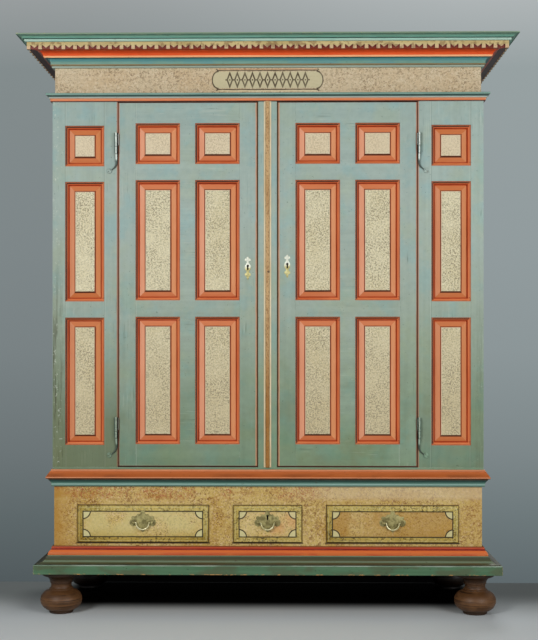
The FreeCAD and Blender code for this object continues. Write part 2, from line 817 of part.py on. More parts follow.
def door_lock(lock_z):
    """Lock case on the inside of the right-hand door: plate, cover and a slot for the bolt."""
    y0 = FRONT + FRAME_T
    y1 = y0 + LOCK_T
    z0 = lock_z - 48
    z1 = lock_z + 42
    case = block(LOCK_X0, LOCK_X1, y0, y1, z0, z1)
    hollow = block(LOCK_X0 + LOCK_WALL, LOCK_X1 - LOCK_WALL, y0 + LOCK_WALL, y1 - LOCK_WALL,
                   z0 + LOCK_WALL, z1 - LOCK_WALL)
    slot = block(LOCK_X0 - EPS, LOCK_X0 + LOCK_WALL + EPS, BOLT_FRONT - BOLT_GAP,
                 BOLT_FRONT + BOLT_T + BOLT_GAP, lock_z + BOLT_RISE - BOLT_HALF - BOLT_GAP,
                 lock_z + BOLT_RISE + BOLT_HALF + BOLT_GAP)
    key_way = keyhole(KEYHOLE_X, lock_z, y0 - EPS, y0 + LOCK_WALL + EPS)
    return case.cut(hollow).cut(slot).cut(key_way)


def door_bolt(lock_z):
    """Bolt of the right-hand door's lock, drawn back, with its tip inside the slot."""
    z = lock_z + BOLT_RISE
    return block(LOCK_X0 + 0.5, LOCK_X1 - 14, BOLT_FRONT, BOLT_FRONT + BOLT_T,
                 z - BOLT_HALF, z + BOLT_HALF)


def escutcheon(lock_z):
    """Scalloped upright plate round the right-hand door's keyhole."""
    right_half = [
        (0, 40), Bend((2.8, 37), (3.8, 33)), Bend((10.4, 30), (4.6, 23)), Bend((3.8, 19), (5, 15)),
        Bend((9.2, 9), (10.5, 1)), Bend((9.6, -7), (5.4, -13)), Bend((4.6, -17), (6, -20)),
        Bend((11, -27), (6, -33)), Bend((4, -36), (4, -39)), (0, -47),
    ]
    flat = plate(symmetric(right_half), FRONT - PLATE_T, PLATE_T)
    placed = flat.translated(V(KEYHOLE_X, 0, lock_z))
    return placed.cut(keyhole(KEYHOLE_X, lock_z, FRONT - PLATE_T - EPS, FRONT + EPS))


# ---------------------------------------------------------------- drawers
LIP_FRONT = DRAWER_FACE - LIP_T
INNER_BACK = DRAWER_FACE + 18
SIDE_LOW = OPENING_LOW + 1.2
SIDE_HIGH = OPENING_HIGH - 6
DOVETAILS = 3


def dovetail(x0, x1, root_y, tip_y, z, root_half, tip_half):
    """One tail seen from the side, through the side's thickness."""
    points = [V(x0, root_y, z - root_half), V(x0, tip_y, z - tip_half),
              V(x0, tip_y, z + tip_half), V(x0, root_y, z + root_half)]
    return Part.Face(Part.makePolygon(points + points[:1])).extrude(V(x1 - x0, 0, 0))


def drawer_tails(x0, x1, root_y, tip_y):
    """The row of tails at one end of a drawer side."""
    pitch = (SIDE_HIGH - SIDE_LOW) / DOVETAILS
    return [dovetail(x0, x1, root_y, tip_y, SIDE_LOW + (index + 0.5) * pitch,
                     pitch * 0.28, pitch * 0.40)
            for index in range(DOVETAILS)]


def drawer_front(lip):
    """Lipped front: a thumb-moulded lip before the case and an inner part in the opening."""
    x0, x1 = lip
    face = block(x0, x1, LIP_FRONT, DRAWER_FACE - 0.3, LIP_LOW, LIP_HIGH)
    front_edges = [edge for edge in face.Edges if edge.BoundBox.YMax < LIP_FRONT + 0.01]
    face = face.makeFillet(6.0, front_edges)
    inset = LIP_OVERLAP + DRAWER_CLEARANCE
    inner = block(x0 + inset, x1 - inset, DRAWER_FACE - 0.3, INNER_BACK,
                  OPENING_LOW + DRAWER_CLEARANCE, OPENING_HIGH - DRAWER_CLEARANCE)
    return face.fuse(inner).removeSplitter()


def drawer(name):
    """Front and box of one drawer: half-blind dovetails before, through dovetails behind."""
    x0, x1 = DRAWER_LIPS[name]
    inset = LIP_OVERLAP + DRAWER_CLEARANCE + 0.4
    side_back = DRAWER_FACE + DRAWER_BACK
    front = drawer_front((x0, x1))
    bottom_low = SIDE_LOW + 8
    bottom_t = 8.0
    sides = []
    for side_x0 in (x0 + inset, x1 - inset - DRAWER_SIDE):
        side_x1 = side_x0 + DRAWER_SIDE
        side = block(side_x0, side_x1, INNER_BACK, side_back - DRAWER_SIDE, SIDE_LOW, SIDE_HIGH)
        tails = (drawer_tails(side_x0, side_x1, INNER_BACK, INNER_BACK - 12)
                 + drawer_tails(side_x0, side_x1, side_back - DRAWER_SIDE, side_back))
        sides.append(side.multiFuse(tails).removeSplitter())
    back = block(x0 + inset, x1 - inset, side_back - DRAWER_SIDE, side_back,
                 bottom_low + bottom_t, SIDE_HIGH)
    bottom = block(x0 + inset + 6, x1 - inset - 6, INNER_BACK - 6, side_back - 2,
                   bottom_low, bottom_low + bottom_t)
    for side in sides:
        front = front.cut(side)
        back = back.cut(side)
    front = front.cut(bottom)
    sides = [side.cut(bottom) for side in sides]
    back = biggest(back)
    return front, sides + [back, bottom]


def biggest(shape):
    """The largest solid of a cut piece, without the chips."""
    return max(shape.Solids, key=lambda solid: solid.Volume)


def pull_plate(x, has_keyhole):
    """Bat-wing plate with two round posts that carry the bail."""
    right_half = [
        (0, 44), Bend((6, 42), (8, 34)), Bend((13, 29), (20, 31)), Bend((24, 24), (31, 21)),
        Bend((40, 21), (42, 15)), (39, 10), Bend((47, 6), (47.5, -3)), Bend((42, -13), (32, -15)),
        Bend((29, -12), (24, -14)), Bend((21, -23), (12, -23)), Bend((8, -27), (6, -32)),
        (0, -37),
    ]
    flat = plate(symmetric(right_half), LIP_FRONT - PLATE_T, PLATE_T)
    flat = flat.translated(V(x, 0, PULL_Z))
    if has_keyhole:
        flat = flat.cut(keyhole(x, PULL_Z + 18, LIP_FRONT - PLATE_T - EPS, LIP_FRONT + EPS))
    for side in (-1, 1):
        post_x = x + side * POST_X
        section = outline_face(
            [(0, 0), (7, 0), (7, 1.5), Bend((4.6, 3.5), (4.2, 6)), Bend((6.6, 10.6), (4.2, 15)),
             (0, 16.5)],
            lambda radius, along: V(radius, 0, along),
        )
        post = section.revolve(V(0, 0, 0), V(0, 0, 1), 360)
        post.rotate(V(0, 0, 0), V(1, 0, 0), 90)
        post.translate(V(post_x, LIP_FRONT - PLATE_T, PULL_Z))
        bore = rod(BAIL_PIN + PIN_CLEARANCE, 20, V(post_x - 10, BAIL_Y, PULL_Z), V(1, 0, 0))
        flat = flat.fuse(post.cut(bore))
    return flat.removeSplitter()


BAIL_Y = LIP_FRONT - PLATE_T - 10.6
BAIL_PIN = 1.8


def bail(x):
    """Drop handle: a thick bow between two thin pins that turn in the posts."""
    grip = 3.0
    reach = POST_X - 10.5
    drop = 26.0
    shoulder = V(x + reach, BAIL_Y, PULL_Z - 4)
    other = V(x - reach, BAIL_Y, PULL_Z - 4)
    low = V(x, BAIL_Y, PULL_Z - drop)
    bow_path = Part.Wire([Part.Arc(shoulder, low, other).toShape()])
    tangent = bow_path.Edges[0].tangentAt(bow_path.Edges[0].FirstParameter)
    section = Part.Wire(Part.makeCircle(grip, shoulder, tangent))
    bow = bow_path.makePipeShell([section], True, False)
    pieces = []
    for side in (-1, 1):
        joint = V(x + side * reach, BAIL_Y, PULL_Z - 4)
        pieces.append(Part.makeSphere(grip, joint))
        pieces.append(rod(grip * 0.9, 4, joint, V(0, 0, 1)))
        pieces.append(Part.makeSphere(grip * 0.9, V(joint.x, BAIL_Y, PULL_Z)))
        start = V(joint.x, BAIL_Y, PULL_Z)
        pieces.append(rod(BAIL_PIN, POST_X - reach + 5, start, V(side, 0, 0)))
    return bow.multiFuse(pieces).removeSplitter()


DRAWER_BOLT_FRONT = DRAWER_FACE + FACE_T + 2
DRAWER_LOCK_LOW = 326.0
DRAWER_LOCK_HIGH = SIDE_HIGH + 3


def drawer_lock():
    """Lock case behind the centre drawer's front, with a slot in its top for the bolt."""
    y0 = INNER_BACK
    y1 = y0 + 16
    case = block(-30, 30, y0, y1, DRAWER_LOCK_LOW, DRAWER_LOCK_HIGH)
    wall = LOCK_WALL
    hollow = block(-30 + wall, 30 - wall, y0 + wall, y1 - wall,
                   DRAWER_LOCK_LOW + wall, DRAWER_LOCK_HIGH - wall)
    slot = block(-12 - BOLT_GAP, 12 + BOLT_GAP, DRAWER_BOLT_FRONT - BOLT_GAP,
                 DRAWER_BOLT_FRONT + 4 + BOLT_GAP, DRAWER_LOCK_HIGH - wall - EPS,
                 DRAWER_LOCK_HIGH + EPS)
    key_way = keyhole(0, PULL_Z + 18, y0 - EPS, y0 + wall + EPS)
    return case.cut(hollow).cut(slot).cut(key_way)


def drawer_bolt():
    """Bolt of the drawer lock, drawn down level with its case."""
    return block(-12, 12, DRAWER_BOLT_FRONT, DRAWER_BOLT_FRONT + 4,
                 DRAWER_LOCK_HIGH - 34, DRAWER_LOCK_HIGH - 0.5)


# ---------------------------------------------------------------- writing the nodes
def save_case():
    """Everything that stays still."""
    for node, (x, y) in foot_places().items():
        save(node, [bun_foot(x, y)])
    save("base_board", [base_board()])
    save("base_moulding", base_moulding())
    save("drawer_case_ends", drawer_case_ends())
    save("drawer_face_frame", drawer_face_frame())
    save("drawer_guides", drawer_guides())
    save("waist_moulding", waist_moulding())
    save("front_rails", front_rails())
    save("case_floor", [case_floor()])
    save("top_boards", top_boards())
    save("back_boards", back_boards())
    save("centre_stile", [centre_stile()])
    save("centre_bead", [centre_bead()])
    save("centre_partition", [centre_partition()])
    save("shelves", shelves())
    save("shelf_cleats", shelf_cleats())
    save("peg_rail", peg_rail())
    save("architrave_moulding", architrave_moulding())
    save("frieze_boards", frieze_boards())
    save("bed_moulding", bed_moulding())
    save("cornice_moulding", cornice_moulding())
    save("dentil_strip", dentil_strip())
    stiles, rails, panels = end_work()
    frame = on_right_end(stiles + rails)
    save("end_frame_right", frame)
    save("end_frame_left", [mirrored(piece) for piece in frame])
    save("end_panels", both_sides(on_right_end(panels)))
    stiles, rails, panels = panelled_work(FIXED_INNER, HALF_WIDTH, SILL_TOP, HEAD_BOTTOM,
                                          FIXED_COLUMNS, FIXED_ROWS)
    frame = on_front(stiles + rails)
    save("front_frame_right", frame)
    save("front_frame_left", [mirrored(piece) for piece in frame])
    save("front_panels", both_sides(on_front(panels)))
    save("hinge_pintles", both_sides([pintle(z) for z in HINGE_Z]))


def save_doors():
    """Both doors with their ironwork: the left one mirrors the right, but its lock sits lower."""
    for side, lock_z in KEYHOLE_Z.items():
        stiles, rails, panels = door_work(lock_z)
        pieces = {
            "door_stiles": stiles,
            "door_rails": rails,
            "door_panels": panels,
            "hinge_leaves": [knuckle_leaf(z) for z in HINGE_Z],
            "door_lock": [door_lock(lock_z)],
            "door_bolt": [door_bolt(lock_z)],
            "escutcheon": [escutcheon(lock_z)],
        }
        for node, shapes in pieces.items():
            if side == "left":
                shapes = [mirrored(shape) for shape in shapes]
            save(f"{node}_{side}", shapes)


def save_drawers():
    """Three drawers with their pulls, and the lock of the centre one."""
    for name, lip in DRAWER_LIPS.items():
        middle = (lip[0] + lip[1]) / 2
        front, box = drawer(name)
        locked = name == "centre"
        if locked:
            front = front.cut(keyhole(middle, PULL_Z + 18, LIP_FRONT - EPS, INNER_BACK + EPS))
        save("drawer_front_" + name, [front])
        save("drawer_box_" + name, box)
        save("pull_plate_" + name, [pull_plate(middle, locked)])
        save("bail_" + name, [bail(middle)])
    save("drawer_lock", [drawer_lock()])
    save("drawer_bolt", [drawer_bolt()])


def main():
    """Write one STEP file for each node."""
    os.makedirs("parts", exist_ok=True)
    save_case()
    save_doors()
    save_drawers()


main()
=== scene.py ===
"""Kas cupboard: painted, turned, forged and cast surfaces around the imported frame.

Metres, +Z up, the front faces -Y, the origin on the floor under the cupboard's middle.
Outlines and profiles are given in millimetres and scaled by the matrix that places them.
"""

import cmath
import functools
import logging
import math
from dataclasses import dataclass
from enum import Enum
from typing import Callable, Dict, List, Optional, Sequence, Tuple, Union

import bmesh
import bpy
from mathutils import Matrix, Vector


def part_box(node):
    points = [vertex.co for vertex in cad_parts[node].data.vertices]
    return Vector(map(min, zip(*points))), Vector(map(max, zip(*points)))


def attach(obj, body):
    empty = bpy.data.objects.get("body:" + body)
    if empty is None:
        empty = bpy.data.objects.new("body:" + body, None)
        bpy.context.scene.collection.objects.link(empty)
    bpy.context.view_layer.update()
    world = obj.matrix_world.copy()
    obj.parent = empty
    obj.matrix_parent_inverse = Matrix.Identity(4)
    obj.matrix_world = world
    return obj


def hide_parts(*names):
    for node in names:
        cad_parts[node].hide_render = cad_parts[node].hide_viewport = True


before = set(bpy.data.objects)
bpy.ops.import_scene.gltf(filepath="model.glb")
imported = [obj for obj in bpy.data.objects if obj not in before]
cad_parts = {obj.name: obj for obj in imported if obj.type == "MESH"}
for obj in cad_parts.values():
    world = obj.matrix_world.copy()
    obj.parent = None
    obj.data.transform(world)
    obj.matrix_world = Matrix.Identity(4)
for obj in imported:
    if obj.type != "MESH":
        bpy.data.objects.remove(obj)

LOG = logging.getLogger("kas")
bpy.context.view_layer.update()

BMesh = bmesh.types.BMesh
Material = bpy.types.Material
Socket = bpy.types.NodeSocket
Rgb = Tuple[float, float, float, float]
Value = Union[float, Socket]
Triple = Tuple[float, float, float]
Point = Tuple[float, float]

MM = 0.001
DRAWERS = ("left", "centre", "right")

# ---------------------------------------------------------------- places taken from the frame
FRONT_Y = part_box("door_stiles_right")[0].y
BACK_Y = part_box("back_boards")[1].y
CASE_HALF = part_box("front_frame_right")[1].x
DRAWER_FACE_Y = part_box("drawer_face_frame")[0].y
FRIEZE_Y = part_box("frieze_boards")[0].y
FRAME_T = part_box("centre_stile")[1].y - FRONT_Y
DOOR_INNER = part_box("door_stiles_right")[0].x
DOOR_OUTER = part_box("door_stiles_right")[1].x
DOOR_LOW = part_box("door_stiles_right")[0].z
DOOR_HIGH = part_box("door_stiles_right")[1].z


class Side(Enum):
    """Left and right of someone who faces the doors, as the sign of X."""

    LEFT = -1
    RIGHT = 1

    @property
    def word(self) -> str:
        """The side's name in lower case."""
        return self.name.lower()

    @property
    def turn(self) -> Matrix:
        """What a right-hand shape goes through to lie on this side."""
        return Matrix.Scale(self.value, 4, Vector((1.0, 0.0, 0.0)))


def srgb(red: int, green: int, blue: int) -> Rgb:
    """A colour as a painter reads it (0 to 255), turned into scene-linear values."""
    def linear(level: int) -> float:
        """One channel."""
        part = level / 255.0
        return part / 12.92 if part <= 0.04045 else ((part + 0.055) / 1.055) ** 2.4
    return linear(red), linear(green), linear(blue), 1.0


# ---------------------------------------------------------------- outlines
@dataclass(frozen=True)
class Bend:
    """An arc from an outline's last point, through via, to end."""

    via: Point
    end: Point


Step = Union[Point, Bend]


def arc(start: Point, via: Point, end: Point, count: int) -> List[Point]:
    """Cut an arc into even stretches.

    Args:
        start: where it starts; this point isn't in the result.
        via: a point on the way.
        end: where it ends.
        count: number of stretches.

    Returns:
        The points after start, up to and with end.
    """
    first, middle, last = complex(*start), complex(*via), complex(*end)
    ratio = (last - first) / (middle - first)
    centre = first + (middle - first) * (ratio - abs(ratio) ** 2) / (2j * ratio.imag)
    full = 2 * math.pi
    sweep = (cmath.phase(last - centre) - cmath.phase(first - centre)) % full
    halfway = (cmath.phase(middle - centre) - cmath.phase(first - centre)) % full
    if halfway > sweep:
        sweep -= full
    turned_by = [cmath.rect(1.0, sweep * index / count) for index in range(1, count + 1)]
    points = [centre + (first - centre) * turn for turn in turned_by]
    return [(point.real, point.imag) for point in points]


def trace(steps: Sequence[Step], count: int = 8) -> List[Point]:
    """Points of an outline, which starts with a plain point, with its arcs cut into stretches."""
    points = [steps[0]]
    for step in steps[1:]:
        if isinstance(step, Bend):
            points.extend(arc(points[-1], step.via, step.end, count))
        else:
            points.append(step)
    return points


def symmetric(right_half: Sequence[Step], count: int = 6) -> List[Point]:
    """Closed outline from its right half, which starts and ends on the middle line."""
    right = trace(right_half, count)
    return right + [(-x, z) for x, z in reversed(right[1:-1])]


def on_face(x: float, y: float, z: float) -> Matrix:
    """Places a millimetre shape drawn flat (right, up, out) on a face that looks along -Y."""
    return Matrix.Translation((x, y, z)) @ Matrix.Rotation(math.pi / 2, 4, "X") @ Matrix.Scale(MM, 4)


def upright(x: float, y: float, z: float) -> Matrix:
    """Places a millimetre shape whose axis stands along +Z."""
    return Matrix.Translation((x, y, z)) @ Matrix.Scale(MM, 4)


# ---------------------------------------------------------------- solid shapes
def turned(bm: BMesh, profile: Sequence[Step], place: Matrix, steps: int = 40,
           material: int = 0, count: int = 8) -> None:
    """Spin a profile into a closed solid.

    Args:
        bm: receives the solid.
        profile: (radius, height) steps that start and end on the axis.
        place: matrix for the finished shape.
        steps: sides round the axis.
        material: material index.
        count: stretches in each arc.
    """
    old_verts, old_faces = set(bm.verts), set(bm.faces)
    verts = [bm.verts.new((radius, 0.0, height)) for radius, height in trace(profile, count)]
    edges = [bm.edges.new(pair) for pair in zip(verts, verts[1:])]
    bmesh.ops.spin(bm, geom=verts + edges, cent=(0, 0, 0), axis=(0, 0, 1), angle=2 * math.pi,
                   steps=steps, use_merge=True)
    bmesh.ops.remove_doubles(bm, verts=[v for v in bm.verts if v not in old_verts], dist=0.001)
    settle(bm, old_verts, old_faces, place, material)


def settle(bm: BMesh, old_verts: set, old_faces: set, place: Matrix,
           material: int) -> None:
    """Place what is new in a bmesh and give its faces a material."""
    bmesh.ops.transform(bm, matrix=place, verts=[v for v in bm.verts if v not in old_verts])
    for face in bm.faces:
        if face not in old_faces:
            face.material_index = material


def cut_plate(bm: BMesh, outlines: Sequence[Sequence[Point]], thick: float,
              place: Matrix, chamfer: float = 0.4, material: int = 0) -> None:
    """Cut a plate with holes and ease its front rim.

    Args:
        bm: receives the plate.
        outlines: closed outlines: the plate's own, then its holes.
        thick: thickness, out from the face it lies on.
        place: matrix for the finished shape.
        chamfer: width of the eased rim.
        material: material index.
    """
    old_verts, old_faces = set(bm.verts), set(bm.faces)
    rims = []
    for outline in outlines:
        verts = [bm.verts.new((x, z, thick)) for x, z in outline]
        rims.extend(bm.edges.new(pair) for pair in zip(verts, verts[1:] + verts[:1]))
    filled = bmesh.ops.triangle_fill(bm, edges=rims, use_beauty=True)["geom"]
    front = [item for item in filled if isinstance(item, bmesh.types.BMFace)]
    made = bmesh.ops.extrude_face_region(bm, geom=front)["geom"]
    back = [item for item in made if isinstance(item, bmesh.types.BMVert)]
    bmesh.ops.translate(bm, verts=back, vec=(0.0, 0.0, -thick))
    bmesh.ops.bevel(bm, geom=[edge for edge in rims if edge.is_valid], offset=chamfer, segments=2,
                    profile=0.5, affect="EDGES", material=-1)
    settle(bm, old_verts, old_faces, place, material)


@dataclass(frozen=True)
class Station:
    """One cross-section of a drawn-out bar that lies along a face which looks along -Y."""

    centre: Vector
    broad: float
    thick: float

    def matrix(self, along: Vector) -> Matrix:
        """Turns a unit circle into this section, square to the bar's direction."""
        ahead = along.normalized()
        out = Vector((0.0, -1.0, 0.0))
        out = (out - ahead * out.dot(ahead)).normalized()
        across = ahead.cross(out)
        turn = Matrix((across, out, ahead)).transposed().to_4x4()
        size = Matrix.Diagonal((self.broad, self.thick, 1.0, 1.0))
        return Matrix.Translation(self.centre) @ turn @ size


def drawn_bar(bm: BMesh, stations: Sequence[Station], place: Matrix, sides: int = 14,
              material: int = 0) -> None:
    """Draw out a bar through its cross-sections, with closed ends.

    Args:
        bm: receives the bar.
        stations: sections in order, in millimetres (right, back, up).
        place: matrix for the finished shape.
        sides: sides of the section.
        material: material index.
    """
    old_verts, old_faces = set(bm.verts), set(bm.faces)
    centres = [station.centre for station in stations]
    ways = [after - before for before, after in
            zip(centres[:1] + centres[:-1], centres[1:] + centres[-1:])]
    now = stations[0].matrix(ways[0])
    ring = bmesh.ops.create_circle(bm, cap_ends=False, radius=1.0, segments=sides)["verts"]
    lip = list({edge for vert in ring for edge in vert.link_edges})
    bmesh.ops.transform(bm, matrix=now, verts=ring)
    open_ends = list(lip)
    for station, way in zip(stations[1:], ways[1:]):
        made = bmesh.ops.extrude_edge_only(bm, edges=lip)["geom"]
        ring = [item for item in made if isinstance(item, bmesh.types.BMVert)]
        lip = [item for item in made if isinstance(item, bmesh.types.BMEdge)
               and all(vert in ring for vert in item.verts)]
        after = station.matrix(way)
        bmesh.ops.transform(bm, matrix=after @ now.inverted(), verts=ring)
        now = after
    bmesh.ops.holes_fill(bm, edges=open_ends + lip, sides=sides)
    settle(bm, old_verts, old_faces, place, material)


@dataclass(frozen=True)
class Seat:
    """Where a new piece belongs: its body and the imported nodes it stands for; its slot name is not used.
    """

    body: str
    slot: str
    nodes: Tuple[str, ...] = ()


def put(name: str, data: bpy.types.ID) -> bpy.types.Object:
    """A new object in the scene."""
    made = bpy.data.objects.new(name, data)
    bpy.context.scene.collection.objects.link(made)
    return made


def place_piece(bm: BMesh, name: str, materials: Sequence[Material],
                seat: Seat, sharp: float = 32.0) -> bpy.types.Object:
    """Turn a finished bmesh into a piece of the cupboard.

    Args:
        bm: closed shells in their place; it is used up.
        name: the piece's name.
        materials: its materials in index order.
        seat: where it belongs.
        sharp: angle in degrees from which an edge stays crisp.

    Returns:
        The new object.
    """
    bmesh.ops.recalc_face_normals(bm, faces=bm.faces)
    mesh = bpy.data.meshes.new(name)
    bm.to_mesh(mesh)
    bm.free()
    for material in materials:
        mesh.materials.append(material)
    mesh.shade_smooth()
    mesh.set_sharp_from_angle(angle=math.radians(sharp))
    piece = put(name, mesh)
    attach(piece, seat.body)
    if seat.nodes:
        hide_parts(*seat.nodes)
    LOG.info("built %s, %d faces, on %s", name, len(mesh.polygons), seat.body)
    return piece


# ---------------------------------------------------------------- shader building
class Graph:
    """Builds the nodes of one material, in the object's own coordinates."""

    def __init__(self, name: str) -> None:
        """Start an empty material.

        Args:
            name: the finish's name.
        """
        self.material = bpy.data.materials.new(name)
        self.material.use_nodes = True
        self.tree = self.material.node_tree
        self.tree.nodes.clear()
        texture_place = self.node("ShaderNodeTexCoord")
        self.place = texture_place.outputs["Object"]
        self.x, self.y, self.z = self.split(self.place)
        self.normal_x, self.normal_y, self.normal_z = self.split(texture_place.outputs["Normal"])
        self.geometry = self.node("ShaderNodeNewGeometry")

    def node(self, kind: str, inputs: Optional[Dict[Union[int, str], object]] = None,
             **settings) -> bpy.types.Node:
        """Add a node.

        Args:
            kind: the node's type.
            inputs: sockets or constants for its inputs, by name or number.
            settings: its plain properties.

        Returns:
            The new node.
        """
        made = self.tree.nodes.new(kind)
        for key, value in settings.items():
            setattr(made, key, value)
        for key, value in (inputs or {}).items():
            if isinstance(value, Socket):
                self.tree.links.new(value, made.inputs[key])
            else:
                made.inputs[key].default_value = value
        return made

    def math(self, operation: str, a: Value, b: Value = 0.0, c: Value = 0.0,
             clamp: bool = False) -> Socket:
        """One scalar operation."""
        made = self.node("ShaderNodeMath", {0: a, 1: b, 2: c}, operation=operation, use_clamp=clamp)
        return made.outputs[0]

    def folded(self, operation: str, values: Sequence[Value]) -> Value:
        """Several values joined one after another by one operation."""
        return functools.reduce(functools.partial(self.math, operation), values)

    def times(self, *values: Value) -> Value:
        """Product of the values."""
        return self.folded("MULTIPLY", values)

    def plus(self, *values: Value) -> Value:
        """Sum of the values."""
        return self.folded("ADD", values)

    def most(self, *values: Value) -> Value:
        """Largest of the values."""
        return self.folded("MAXIMUM", values)

    def less(self, value: Value, by: Value) -> Socket:
        """A value less another."""
        return self.math("SUBTRACT", value, by)

    def between(self, share: Value, low: float, high: float, clamp: bool = False) -> Socket:
        """Low where the share is 0, high where it is 1."""
        return self.math("MULTIPLY_ADD", share, high - low, low, clamp)

    def gap(self, value: Value, middle: Value) -> Socket:
        """Distance from a value to a middle."""
        return self.math("ABSOLUTE", self.less(value, middle))

    def from_nearest(self, value: Value, pitch: float) -> Socket:
        """Distance to the nearest whole multiple of a pitch."""
        turn = self.math("DIVIDE", value, pitch)
        return self.times(self.gap(turn, self.math("ROUND", turn)), pitch)

    def length(self, a: Socket, b: Socket) -> Socket:
        """Length of a flat vector."""
        return self.math("SQRT", self.plus(self.times(a, a), self.times(b, b)))

    def stroke(self, distance: Socket, half_width: float, soft: float = 0.4 * MM) -> Socket:
        """1 within a drawn line, 0 beyond its soft edge."""
        return self.ease(distance, half_width + soft, half_width - soft)

    def vector(self, operation: str, a, b, result: str = "Vector") -> Socket:
        """One vector operation."""
        return self.node("ShaderNodeVectorMath", {0: a, 1: b}, operation=operation).outputs[result]

    def scaled(self, colour, amount: Value) -> Socket:
        """A colour made lighter or darker by a factor."""
        rgb = colour if isinstance(colour, Socket) else colour[:3]
        return self.node("ShaderNodeVectorMath", {0: rgb, "Scale": amount}, operation="SCALE").outputs[0]

    def dot(self, a, b) -> Socket:
        """Dot product of two vectors."""
        return self.vector("DOT_PRODUCT", a, b, "Value")

    @property
    def aside(self) -> Socket:
        """Distance from the cupboard's middle, to the left or the right."""
        return self.math("ABSOLUTE", self.x)

    def split(self, vector: Socket) -> Tuple[Socket, Socket, Socket]:
        """The three parts of a vector."""
        return tuple(self.node("ShaderNodeSeparateXYZ", {0: vector}).outputs)

    def moved(self, shift: float, place: Optional[Socket] = None) -> Socket:
        """A place, or the object's own, moved so that a pattern differs from its neighbours."""
        start = self.place if place is None else place
        return self.vector("ADD", start, (shift, shift * 0.7, shift * 1.3))

    def stretched(self, scale: Triple, shift: float = 0.0) -> Socket:
        """Object coordinates scaled by axis and moved."""
        place = self.vector("MULTIPLY", self.place, scale)
        return self.moved(shift, place) if shift else place

    def noise(self, place: Socket, scale: float, detail: float = 3.0, rough: float = 0.55,
              warp: float = 0.0) -> Socket:
        """Cloud value from 0 to 1."""
        made = self.node("ShaderNodeTexNoise", {"Vector": place, "Scale": scale, "Detail": detail,
                                                "Roughness": rough, "Distortion": warp})
        return made.outputs["Fac"]

    def ease(self, value: Value, low: float, high: float) -> Socket:
        """0 below low, 1 above high, smooth between; low may be the larger."""
        flipped = low > high
        made = self.node("ShaderNodeMapRange", {
            "Value": value, "From Min": min(low, high), "From Max": max(low, high),
            "To Min": float(flipped), "To Max": float(not flipped),
        }, interpolation_type="SMOOTHSTEP")
        return made.outputs["Result"]

    def patches(self, low: float, high: float, *noise: Value) -> Socket:
        """1 in patches where a noise lies above high, 0 where it lies below low."""
        return self.ease(self.noise(*noise), low, high)

    def sway(self, low: float, high: float, *noise: Value, clamp: bool = False) -> Socket:
        """A value that a noise takes to and fro between low and high."""
        return self.between(self.noise(*noise), low, high, clamp)

    def band(self, value: Value, low: float, high: float, soft: float) -> Socket:
        """1 between two limits and 0 outside them."""
        rise = self.ease(value, low - soft, low + soft)
        fall = self.ease(value, high + soft, high - soft)
        return self.times(rise, fall)

    def coat(self, under, over, *amounts: Value, blend: str = "MIX") -> Socket:
        """One colour laid over another.

        Args:
            under: the colour so far.
            over: the colour that goes on it.
            amounts: their product says how well it covers.
            blend: how the two are blended.

        Returns:
            The colour socket.
        """
        made = self.node("ShaderNodeMix", {0: self.times(*amounts), 6: under, 7: over}, data_type="RGBA",
                         blend_type=blend)
        return made.outputs[2]

    def mix_place(self, amount: Value, a: Socket, b: Socket) -> Socket:
        """Mix of two vectors."""
        return self.node("ShaderNodeMix", {0: amount, 4: a, 5: b}, data_type="VECTOR").outputs[1]

    def ramp(self, value: Value, stops: Sequence[Tuple[float, Rgb]]) -> Socket:
        """Colour that changes along a value.

        Args:
            value: what the stops are measured on.
            stops: (value, colour) pairs in rising order.

        Returns:
            The colour socket.
        """
        low, high = stops[0][0], stops[-1][0]
        share = self.node("ShaderNodeMapRange", {"Value": value, "From Min": low, "From Max": high})
        made = self.node("ShaderNodeValToRGB", {"Fac": share.outputs["Result"]})
        elements = made.color_ramp.elements
        elements[0].color = stops[0][1]
        elements[1].color = stops[-1][1]
        for at, colour in stops[1:-1]:
            elements.new((at - low) / (high - low)).color = colour
        return made.outputs["Color"]

    def rounded_normal(self, radius: float) -> Socket:
        """Normal of the surface with its arrises eased by a radius."""
        return self.node("ShaderNodeBevel", {"Radius": radius}, samples=4).outputs["Normal"]

    def facing(self, radius: float) -> Tuple[Socket, Socket, Socket]:
        """The three parts of the eased normal, in the object's own coordinates."""
        own = self.node("ShaderNodeVectorTransform", {0: self.rounded_normal(radius)},
                        vector_type="NORMAL", convert_from="WORLD", convert_to="OBJECT")
        return self.split(own.outputs[0])

    def arris(self, radius: float) -> Socket:
        """1 along sharp edges, 0 on open surfaces."""
        facing = self.dot(self.rounded_normal(radius), self.geometry.outputs["True Normal"])
        return self.ease(facing, 0.995, 0.80)

    def finish(self, colour, rough: Value, height: Optional[Socket] = None,
               relief: float = 0.3 * MM, ease_radius: float = 1.0 * MM,
               metallic: float = 0.0, specular: float = 0.3) -> Material:
        """Close the graph with a surface shader.

        Args:
            colour: base colour, or a socket.
            rough: roughness, or a socket.
            height: relief from 0 to 1.
            relief: real height of that relief.
            ease_radius: radius of the arrises in the shading.
            metallic: 1 for bare metal.
            specular: specular level.

        Returns:
            The finished material.
        """
        normal = self.rounded_normal(ease_radius)
        if height is not None:
            bump = self.node("ShaderNodeBump", {"Distance": relief, "Height": height, "Normal": normal})
            normal = bump.outputs["Normal"]
        return self.close(self.node("ShaderNodeBsdfPrincipled", {
            "Base Color": colour, "Roughness": rough, "Metallic": metallic,
            "Specular IOR Level": specular, "Normal": normal,
        }))

    def close(self, shader: bpy.types.Node) -> Material:
        """Send a shader to the output, and hand over the material."""
        self.node("ShaderNodeOutputMaterial", {"Surface": shader.outputs[0]})
        return self.material

